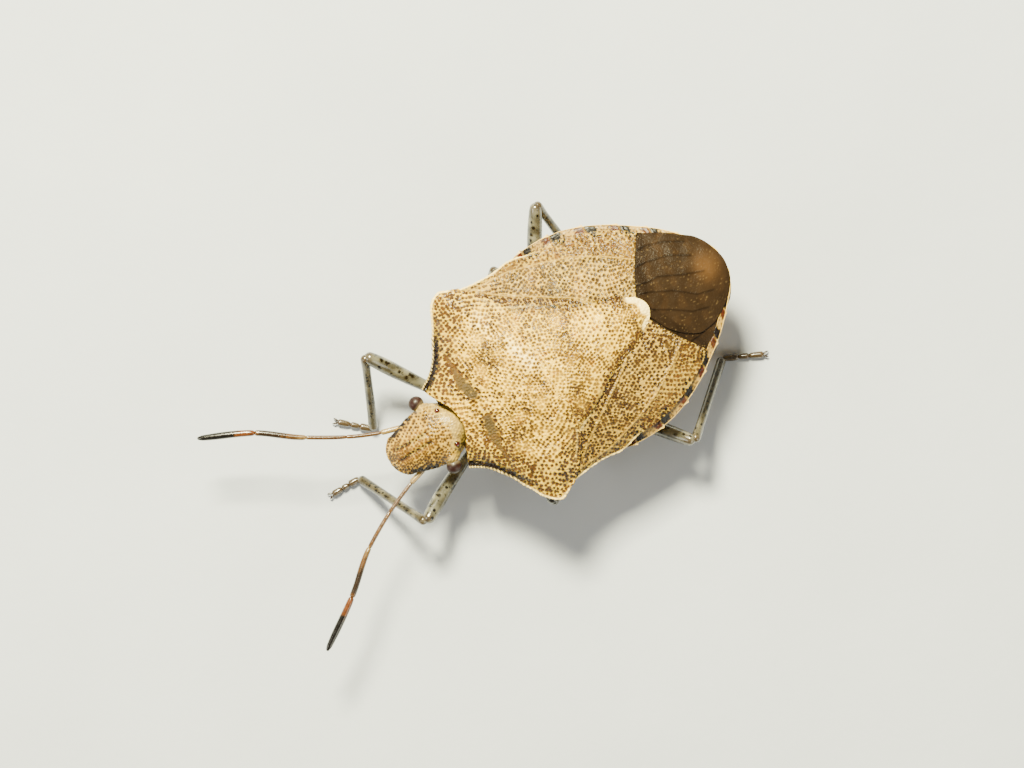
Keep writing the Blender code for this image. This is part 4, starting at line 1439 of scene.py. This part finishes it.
@dataclass(frozen=True)
class Head:
    """Head capsule with its eyes and simple eyes."""

    half_width: Stations = Stations(
        (0.33, 0.66), (0.60, 0.72), (0.76, 0.79), (0.98, 0.85), (1.13, 0.90), (1.28, 0.925),
        (1.42, 0.95), (1.64, 1.04), (1.86, 1.00), (1.98, 0.92), (2.20, 0.80), (2.42, 0.68),
        (2.80, 0.55))
    tops: Stations = Stations((0.0, 2.58), (0.5, 2.95), (1.0, 3.15), (1.6, 3.30), (2.2, 3.38),
                              (2.45, 3.30), (2.8, 3.05))
    unders: Stations = Stations((0.0, 2.28), (0.5, 2.05), (1.2, 1.90), (2.0, 1.85),
                                (2.45, 2.05), (2.8, 2.2))
    edges: Stations = Stations((0.0, 2.43), (0.5, 2.50), (1.2, 2.60), (2.0, 2.65),
                               (2.8, 2.65))
    groove: Stations = Stations((0.05, 0.19), (0.5, 0.175), (1.0, 0.16), (1.6, 0.15))
    groove_width: float = 0.078
    pits: PitField = PitField(149, 0.102, 0.037, 0.03, slope=1.5)
    temple: tuple[float, float] = (0.72, 1.77)
    stalk: tuple[float, float] = (0.95, 1.66)
    ocellus: tuple[float, float] = (0.585, 2.05)
    ocellus_radii: tuple[float, float, float] = (0.085, 0.085, 0.055)
    eye: tuple[float, float, float] = (1.12, 1.62, 2.86)
    eye_radii: tuple[float, float, float] = (0.225, 0.235, 0.215)
    end: float = 2.80
    nose: float = 0.33
    around: int = 270
    along: int = 165

    def width(self, s: Array) -> Array:
        """Half-width in plan, rounded off at the nose."""
        tip = 0.66 * (np.clip(s, 0.0, self.nose) / self.nose) ** (1 / 2.6)
        return np.where(s < self.nose, tip, self.half_width(s))

    def margin(self, s: Array) -> Array:
        """Height of the head's side edge, raised where it bears the eyes."""
        return self.edges(s) + 0.20 * bump(s - 1.68, 0.24)

    def top(self, x: Array, s: Array) -> Array:
        """Height of the crown of the head.

        Args:
            x: Places across.
            s: Places back.

        Returns:
            Array: The heights.
        """
        a = np.clip(np.abs(x) / np.maximum(self.width(s), 0.02), 0.0, 1.0)
        nose = np.sqrt(dome(s / 0.35))
        edge = self.margin(s) + 0.05 * nose
        stalk = 0.16 * spot(np.abs(x), s, (0.92, 1.68), 0.20)
        return edge + (self.tops(s) - edge) * (1 - a ** 2.4) * nose + stalk

    def surface(self, turn: Array, v: Array) -> Array:
        """Points of the capsule.

        Args:
            turn: Angles round it.
            v: Places along it, 0 to 1.

        Returns:
            Array: The points.
        """
        share, between = capped(v, self.along)
        s = np.minimum(0.0006 + self.end * (0.25 * share + 0.75 * share ** 1.9), self.end)
        x = self.width(s) * np.cos(turn)
        a = np.abs(np.cos(turn))
        nose = np.sqrt(dome(s / 0.35))
        middle = self.margin(s)
        low = middle - 0.05 * nose - (middle - 0.05 - self.unders(s)) * (1 - a ** 2.6) * nose
        z = section(turn, middle, self.top(x, s), low, 0.12)
        return np.stack((np.where(between, x, 0.0), s, np.where(between, z, middle)), axis=1)

    def marks(self, co: Array, normals: Array) -> Marks:
        """Colours and relief of the capsule.

        Args:
            co: Its points.
            normals: Their normals.

        Returns:
            Marks: The value of each mark at each point.
        """
        x, s = co[:, 0], co[:, 1]
        across = np.abs(x)
        up = ease(-0.05, 0.25, normals[:, 2])
        inward = self.width(s) - across
        line = np.abs(x + 0.04) - self.groove(s) - 0.008 * Waves(137, 0.5)(x, s)
        long = ease(0.15, 0.35, s) * fall(1.35, 1.62, s)
        groove = bump(line, self.groove_width) * long
        ring = np.hypot(across - self.ocellus[0], s - self.ocellus[1])
        nape = ease(1.94, 2.16, s + 0.40 * across ** 2 + 0.05 * Waves(139, 0.35)(x, s))
        nape = np.maximum(nape, fall(0.12, 0.18, ring))
        nape = np.maximum(nape, ease(0.35, 0.6, spot(across, s, self.stalk, 0.17)))
        field, crest = self.pits(x, s)
        flank = bump(line, 0.15) * long
        pit = field * (1 - nape * (0.55 + 0.45 * ease(2.2, 2.35, s))) * (1 - flank)
        maze = ease(0.0, 0.8, Waves(151, 0.13, 0.3, 30)(x, s))
        dark = fall(0.08, 0.20, inward) * ease(0.25, 0.45, s) * fall(1.15, 1.4, s)
        dark *= ease(-1.6, -0.4, Waves(157, 0.22)(x, s)) * ease(-0.3, 0.0, normals[:, 2])
        clypeus = ease(0.0, 0.05, -line) * long
        temple = spot(across, s, self.temple, 0.14) * up
        relief = up * (-0.040 * groove + 0.018 * clypeus - 0.014 * pit
                       + 0.035 * bump(ring - 0.11, 0.035) - 0.03 * bump(ring, 0.07)
                       + 0.012 * bump(inward - 0.03, 0.03) * (s < 1.35)
                       + 0.005 * crest + 0.005 * Waves(163, 0.08)(x, s))
        relief += (1 - up) * 0.004 * Waves(167, 0.12)(x, s)
        return {
            "relief": relief,
            "rust": 0.85 * groove + 0.15 * clypeus + 0.12 * maze * (1 - nape)
            + 0.30 * spot(x, s, (0.0, 2.15), 0.13) * (0.5 + maze)
            + 0.8 * bump(ring - 0.085, 0.025),
            # Painted shade: a darker band across the nape's rear, before the pronotum's edge
            "stain": 0.10 + 0.12 * Waves(173, 0.7)(x, s) + 0.10 * Waves(174, 0.3)(x, s)
            + 0.2 * bump(s - 2.35, 0.08) * up + 0.45 * temple,
            "pit": np.maximum(pit, 0.95 * groove),
            # Painted shade: the right groove, on the lit side, is painted darker than the left
            "dusk": np.maximum(dark * 1.05, (0.62 - 0.12 * ease(-0.2, 0.2, x)) * groove),
            # Painted highlight on the crests between the punctures
            "cream": (0.45 * crest * up + 0.4 * (1 - up)) * (1 - dark),
            "ivory": nape * 0.28 * up * (1 - dark) * (1 - 0.8 * temple),
            "moss": 0.45 * nape * bump(x, 0.35) + 0.3 * nape * bump(s - 1.98, 0.06),
        }

    def eye_marks(self, side: float, co: Array, normals: Array) -> Marks:
        """Pale inner side of the left eye, side 1, or of the right one, side -1.

        It is the eye's pale wall with a painted reflection laid over it.
        """
        inner = self.eye[0] - side * co[:, 0] + 0.4 * (co[:, 1] - self.eye[1])
        return {"cream": 0.7 * ease(0.02, 0.16, inner)}

    def build_eyes(self, name: str, side: float) -> None:
        """Make the compound eye of one side and the simple eye, a glassy bead, beside it.

        Args:
            name: Name of the side.
            side: 1 on the left and -1 on the right.
        """
        dress(f"eye_{name}_lenses", bead((side * self.eye[0], *self.eye[1:]), self.eye_radii, 5),
              COMPOUND_EYE, (f"eye_{name}",), partial(self.eye_marks, side))
        x, s = self.ocellus
        z = float(self.top(np.array([x]), np.array([s]))[0]) - 0.005
        dress(f"ocellus_{name}", bead((side * x, s, z), self.ocellus_radii, 4), OCELLUS_LENS,
              ())

    def build(self) -> None:
        """Make and dress the head and its eyes."""
        mesh = bmesh.new()
        wrap(mesh, self.surface, self.around, self.along)
        dress("head_capsule", mesh, HEAD_CUTICLE, ("head",), self.marks)
        for name, side in SIDES.items():
            self.build_eyes(name, side)


@dataclass(frozen=True)
class Antenna:
    """One feeler of five jointed segments."""

    side: str
    points: Points
    joints: tuple[float, ...] = (0.0, 0.10, 0.27, 0.465, 0.715, 1.0)
    radii: tuple[float, ...] = (0.085, 0.062, 0.066, 0.092, 0.108)
    last: int = 4

    def paint(self, segment: int, turn: Array, v: Array) -> Marks:
        """Colours of one segment.

        Args:
            segment: Its number, from 0 at the head.
            turn: Angles round it.
            v: Places along it, 0 to 1.

        Returns:
            Marks: The value of each mark.
        """
        seed = 211 + segment + (10 if self.side == "left" else 0)
        t = along_tube(v)
        mottle = Waves(seed, 0.35)(t * 3.0, turn * 0.1)
        dusk = np.clip(0.14 + 0.16 * mottle, 0.0, 0.4)
        rust = np.full_like(t, 0.25)
        cream = np.zeros_like(t)
        if segment == 0:
            cream, dusk = np.full_like(t, 0.85), 0.3 * dusk
        if segment == 2:
            cream = 0.7 * ease(0.93, 1.0, t)
        if segment == 3:
            dusk = np.maximum(dusk, 0.85 * ease(0.30, 0.55, t + 0.05 * mottle)
                              * fall(0.88, 0.97, t))
            cream = 0.45 * fall(0.0, 0.3, t)
        if segment == self.last:
            dusk = np.maximum(dusk, ease(0.26, 0.42, t + 0.04 * mottle))
            rust = 0.8 * fall(0.25, 0.45, t)
        return {"cream": cream, "rust": rust, "dusk": dusk}

    def build(self) -> None:
        """Make and dress the feeler."""
        path = Track(self.points)
        mesh = bmesh.new()
        for index, radius in enumerate(self.radii):
            start, end = self.joints[index], self.joints[index + 1] + 0.004
            part = Track(path(np.linspace(start, min(end, 1.0), 12)).tolist())
            taper, tip = (0.8, 0.35) if index == self.last else (1.0, 0.92)
            shape = Stations((0.0, 0.72 * radius), (0.10, 0.9 * radius), (0.55, radius),
                             (0.90, radius * taper), (1.0, tip * radius))
            tube(mesh, part, shape, 20, 70, partial(self.paint, index))
        dress(f"antenna_{self.side}_segments", mesh, FEELER_CUTICLE,
              (f"antenna_{self.side}",))


@dataclass(frozen=True)
class Beak:
    """Sucking beak of four segments, folded back between the legs.

    Each joint is its place back, its height and the beak's radius there.
    """

    joints: tuple[tuple[float, float, float], ...] = (
        (0.45, 2.02, 0.15), (1.55, 1.72, 0.15), (2.75, 1.55, 0.14), (3.95, 1.44, 0.12),
        (5.05, 1.40, 0.06))

    def build(self) -> None:
        """Make and dress the beak."""
        mesh = bmesh.new()
        for (s0, z0, r0), (s1, z1, r1) in zip(self.joints, self.joints[1:]):
            part = Track(((0.0, s0, z0 - r0), (0.0, (s0 + s1) / 2, (z0 + z1) / 2 - r0),
                          (0.0, s1 + 0.03, z1 - r0)))
            tube(mesh, part, Stations((0.0, 0.85 * r0), (0.2, r0), (0.8, 0.9 * r0 + 0.1 * r1),
                                      (1.0, 0.8 * r1)), 24, 40, self.paint)
        dress("beak_segments", mesh, FEELER_CUTICLE, ("beak",))

    @staticmethod
    def paint(turn: Array, v: Array) -> Marks:
        """Pale segments with a dark groove along the underside."""
        groove = bump(np.abs(turn - 1.5 * np.pi), 0.12)
        return {"cream": 0.5 * (1 - groove), "dusk": np.maximum(groove, ease(0.9, 1.0, v)) * 0.7,
                "rust": np.full_like(v, 0.2)}


@dataclass(frozen=True)
class Leg:
    """One leg: hip, ring, spotted thigh, shank, three foot joints and two claws.

    Coxa, ankle and toe are places in plan, and the knee's darkness is painted shade: how black the
    ends of its thigh and shank are painted where the knee lies in shadow.
    """

    name: str
    coxa: tuple[float, float]
    trochanter: tuple[float, float, float]
    thigh: tuple[float, float, float]
    knee: tuple[float, float, float]
    ankle: tuple[float, float]
    toe: tuple[float, float]
    knee_shade: float = 0.0
    ankle_height: float = 0.20
    heel_height: float = 0.13
    toe_height: float = 0.11
    foot: tuple[tuple[float, float, float, float], ...] = (
        (0.0, 0.36, 0.115, 0.3), (0.34, 0.58, 0.095, 0.3), (0.56, 0.90, 0.105, 0.75))
    claw: tuple[tuple[float, float, float], ...] = (
        (0.0, 0.03, 0.02), (0.08, 0.07, 0.02), (0.15, 0.09, -0.05))

    def seed(self) -> int:
        """Seed of the leg's spots."""
        return 300 + sum(ord(letter) for letter in self.name)

    def spotted(self, length: float, girth: float, spacing: float, size: float, olive: float,
                start: float, turn: Array, v: Array) -> Marks:
        """Marks of a joint with dark spots.

        Args:
            length: Length of the joint in millimetres.
            girth: Its girth in millimetres.
            spacing: Distance between spots.
            size: Radius of a spot.
            olive: How brown the ground is.
            start: Share of its length that stays plain.
            turn: Angles round it.
            v: Places along it, 0 to 1.

        Returns:
            Marks: The value of each mark.
        """
        t = along_tube(v)
        along, round_it = t * length, turn / (2 * np.pi) * girth
        pit, _ = PitField(self.seed(), spacing, size, 0.30, 0.30)(round_it, along)
        fine, _ = PitField(self.seed() + 5, spacing * 0.6, size * 0.45, 0.6)(round_it, along)
        cloud = Waves(self.seed() + 3, 0.5)(round_it, along)
        tips = np.maximum(fall(0.02, 0.08, t), ease(0.90, 0.97, t))
        return {
            # Painted shade: the knee setting darkens the joint's ends where the knee lies in
            # shadow
            "pit": np.maximum(np.maximum(pit, 0.8 * fine) * ease(start, start + 0.1, t) * 1.3,
                              self.knee_shade * tips),
            "olive": np.clip(olive + 0.18 * cloud * olive + 0.25 * tips, 0.0, 1.0),
            "cream": np.clip(0.14 + 0.2 * cloud, 0.0, 1.0) * (1 - olive),
            "rust": 0.3 * tips,
        }

    @staticmethod
    def plain(olive: float, dark_tip: float, turn: Array, v: Array) -> Marks:
        """Marks of a joint without spots, brown toward its tip."""
        return {"pit": dark_tip * ease(0.80, 0.97, v), "olive": np.full_like(v, olive),
                "cream": np.full_like(v, 0.3 * (1 - olive)),
                "rust": 0.4 * olive + 0.3 * ease(0.5, 1.0, v)}

    def build(self) -> None:
        """Make and dress the leg."""
        mesh = bmesh.new()
        x, s = self.coxa
        roof = float(FORM.belly(np.array([x]), np.array([s]))[0])
        hip = Track(((x, s, roof + 0.10), (x * 0.98, s - 0.02, roof - 0.25), self.trochanter))
        tube(mesh, hip, Stations((0.0, 0.36), (0.5, 0.33), (1.0, 0.18)), 32, 36,
             partial(self.plain, 0.25, 0.0))
        thigh = Track((self.trochanter, self.thigh, self.knee))
        tube(mesh, thigh, Stations((0.0, 0.15), (0.12, 0.17), (0.3, 0.20), (0.7, 0.235),
                                   (0.92, 0.20), (1.0, 0.15)), 44, 110,
             partial(self.spotted, thigh.length, 1.35, 0.25, 0.064, 0.05, 0.10))
        shank = Track((self.knee, (*self.ankle, self.ankle_height)))
        tube(mesh, shank, Stations((0.0, 0.125), (0.06, 0.15), (0.2, 0.132), (0.7, 0.140),
                                   (1.0, 0.15)), 32, 100,
             partial(self.spotted, shank.length, 0.88, 0.19, 0.05, 0.55, 0.0), floor=0.0)
        heel = Vector((*self.ankle, self.heel_height))
        step = Vector((*self.toe, self.toe_height)) - heel
        for start, end, radius, dark in self.foot:
            part = Track([tuple(heel + step * share) for share in (start, (start + end) / 2, end)])
            tube(mesh, part, Stations((0.0, 0.6 * radius), (0.3, 0.9 * radius),
                                      (0.8, radius), (1.0, 0.8 * radius)), 24, 24,
                 partial(self.plain, 0.9, dark), floor=0.0)
        dress(f"{self.name}_joints", mesh, LEG_CUTICLE, (self.name,))
        self.build_claws(heel, step)

    def build_claws(self, heel: Vector, step: Vector) -> None:
        """Make and dress the pair of claws at the end of the foot.

        Args:
            heel: Where the foot starts.
            step: From there to its toe.
        """
        mesh = bmesh.new()
        ahead = step.normalized()
        side = Vector((ahead.y, -ahead.x, 0.0)).normalized()
        root = heel + step * 0.89
        for hand in SIDES.values():
            points = [root + ahead * along + side * across * hand + Vector((0.0, 0.0, rise))
                      for along, across, rise in self.claw]
            tube(mesh, Track([tuple(point) for point in points]),
                 Stations((0.0, 0.035), (0.5, 0.028), (1.0, 0.008)), 12, 20, floor=0.0)
        dress(f"{self.name}_claws", mesh, CLAW_CHITIN, ())


@dataclass(frozen=True)
class Studio:
    """Pale floor, soft lights and the camera, which looks straight down as the photograph does.

    Middle, view_width and height are in millimetres, and turn is how many degrees below level
    the bug's head points in the view.
    """

    middle: tuple[float, float] = (-0.106, 4.445)
    turn: float = 31.3
    lens: float = 180.0
    sensor: float = 36.0
    view_width: float = 31.19
    height: float = 3.75
    lights: tuple[tuple, ...] = (
        ("key", (-0.025, 0.070, 0.105), 0.030, 1.12, (1.0, 0.955, 0.62)),
        ("fill", (0.11, -0.10, 0.08), 0.10, 0.16, (1.0, 0.97, 0.78)),
        ("head_side", (-0.14, -0.05, 0.09), 0.08, 0.15, (1.0, 0.97, 0.80)))
    air: tuple[float, float, float, float] = (1.0, 0.97, 0.80, 1.0)
    air_strength: float = 0.28

    def centre(self) -> Vector:
        """Middle of the view, on the back, in metres."""
        return Vector(ROW.to_row(np.array((*self.middle, self.height))))

    def build_camera(self) -> None:
        """Place the camera."""
        data = bpy.data.cameras.new("camera")
        data.lens, data.sensor_width = self.lens, self.sensor
        data.clip_start, data.clip_end = 0.005, 5.0
        camera = bpy.data.objects.new("camera", data)
        bpy.context.scene.collection.objects.link(camera)
        away = self.view_width / self.sensor * self.lens * MM
        camera.location = self.centre() + Vector((0.0, 0.0, away))
        camera.rotation_euler = (0.0, 0.0, math.radians(90 - self.turn))
        bpy.context.scene.camera = camera

    def build_light(self, name: str, place: tuple[float, float, float], size: float,
                    power: float, tint: tuple[float, float, float]) -> None:
        """Place one square soft light that looks at the bug.

        Args:
            name: Its name.
            place: Where it is from the middle of the view: right, up and out, in metres.
            size: Its side in metres.
            power: Its power in watts.
            tint: Its colour.
        """
        data = bpy.data.lights.new(name, "AREA")
        data.shape, data.size, data.energy, data.color = "SQUARE", size, power, tint
        lamp = bpy.data.objects.new(name, data)
        bpy.context.scene.collection.objects.link(lamp)
        angle = math.radians(self.turn)
        right = Vector((math.sin(angle), math.cos(angle), 0.0))
        up = Vector((-math.cos(angle), math.sin(angle), 0.0))
        offset = right * place[0] + up * place[1] + Vector((0.0, 0.0, place[2]))
        lamp.location = self.centre() + offset
        lamp.rotation_euler = (-offset).to_track_quat("-Z", "Y").to_euler()

    def build_floor(self) -> None:
        """Lay the floor."""
        mesh = bmesh.new()
        bmesh.ops.create_grid(mesh, x_segments=8, y_segments=8, size=0.6)
        data = bpy.data.meshes.new("floor")
        mesh.to_mesh(data)
        mesh.free()
        data.materials.append(CARD.material())
        floor = bpy.data.objects.new("floor", data)
        bpy.context.scene.collection.objects.link(floor)

    def build(self) -> None:
        """Set the stage."""
        self.build_floor()
        self.build_camera()
        for light in self.lights:
            self.build_light(*light)
        world = bpy.data.worlds.new("studio_air")
        world.use_nodes = True
        background = world.node_tree.nodes["Background"]
        background.inputs["Color"].default_value = self.air
        background.inputs["Strength"].default_value = self.air_strength
        bpy.context.scene.world = world


ANTENNAE = (
    Antenna("left", ((0.70, 0.85, 2.36), (0.90, 0.18, 2.40), (1.95, -1.96, 2.55),
                     (2.87, -3.07, 2.60), (3.95, -4.67, 2.45))),
    Antenna("right", ((-0.74, 0.85, 2.36), (-0.93, 0.20, 2.40), (-2.05, -1.91, 2.55),
                      (-2.94, -3.11, 2.60), (-3.70, -4.69, 2.45))))
LEGS = (
    Leg("leg_front_left", (0.92, 3.10), (0.98, 2.35, 1.15), (1.50, 1.20, 1.55),
        (2.16, -0.02, 2.20), (-0.06, -1.14), (-0.07, -2.24)),
    Leg("leg_front_right", (-0.92, 3.10), (-1.10, 2.35, 1.15), (-2.15, 1.68, 1.60),
        (-3.20, 1.03, 2.25), (-1.14, 0.03), (-2.02, -0.92)),
    # Its knee lies in the pronotum's shadow, so the ends of its thigh and shank are painted dark
    Leg("leg_mid_left", (0.92, 4.75), (1.45, 4.60, 1.05), (2.50, 4.15, 1.45),
        (3.70, 3.62, 2.10), (2.60, 5.10), (2.85, 6.10), knee_shade=0.85),
    Leg("leg_mid_right", (-0.92, 4.75), (-1.45, 4.90, 1.05), (-2.45, 5.35, 1.40),
        (-3.42, 5.86, 2.05), (-2.50, 4.50), (-2.35, 3.50)),
    Leg("leg_hind_left", (0.95, 6.00), (1.50, 6.25, 0.95), (2.95, 7.25, 1.35),
        (4.32, 8.33, 2.30), (2.61, 10.45), (3.25, 11.78)),
    Leg("leg_hind_right", (-0.95, 6.00), (-1.50, 6.25, 0.95), (-3.05, 7.05, 1.35),
        (-4.48, 7.95, 2.25), (-2.45, 8.20), (-1.65, 9.05)))


def main() -> None:
    """Build every sub-assembly and report each one."""
    logging.basicConfig(level=logging.INFO, format="%(name)s: %(message)s")
    assemblies = [Head(), Pronotum(), Scutellum(), ForeWings(), Trunk(), Beak(), *ANTENNAE,
                  *LEGS, Studio()]
    for assembly in assemblies:
        assembly.build()
        log.info("built %s", type(assembly).__name__)


if __name__ == "__main__":
    main()
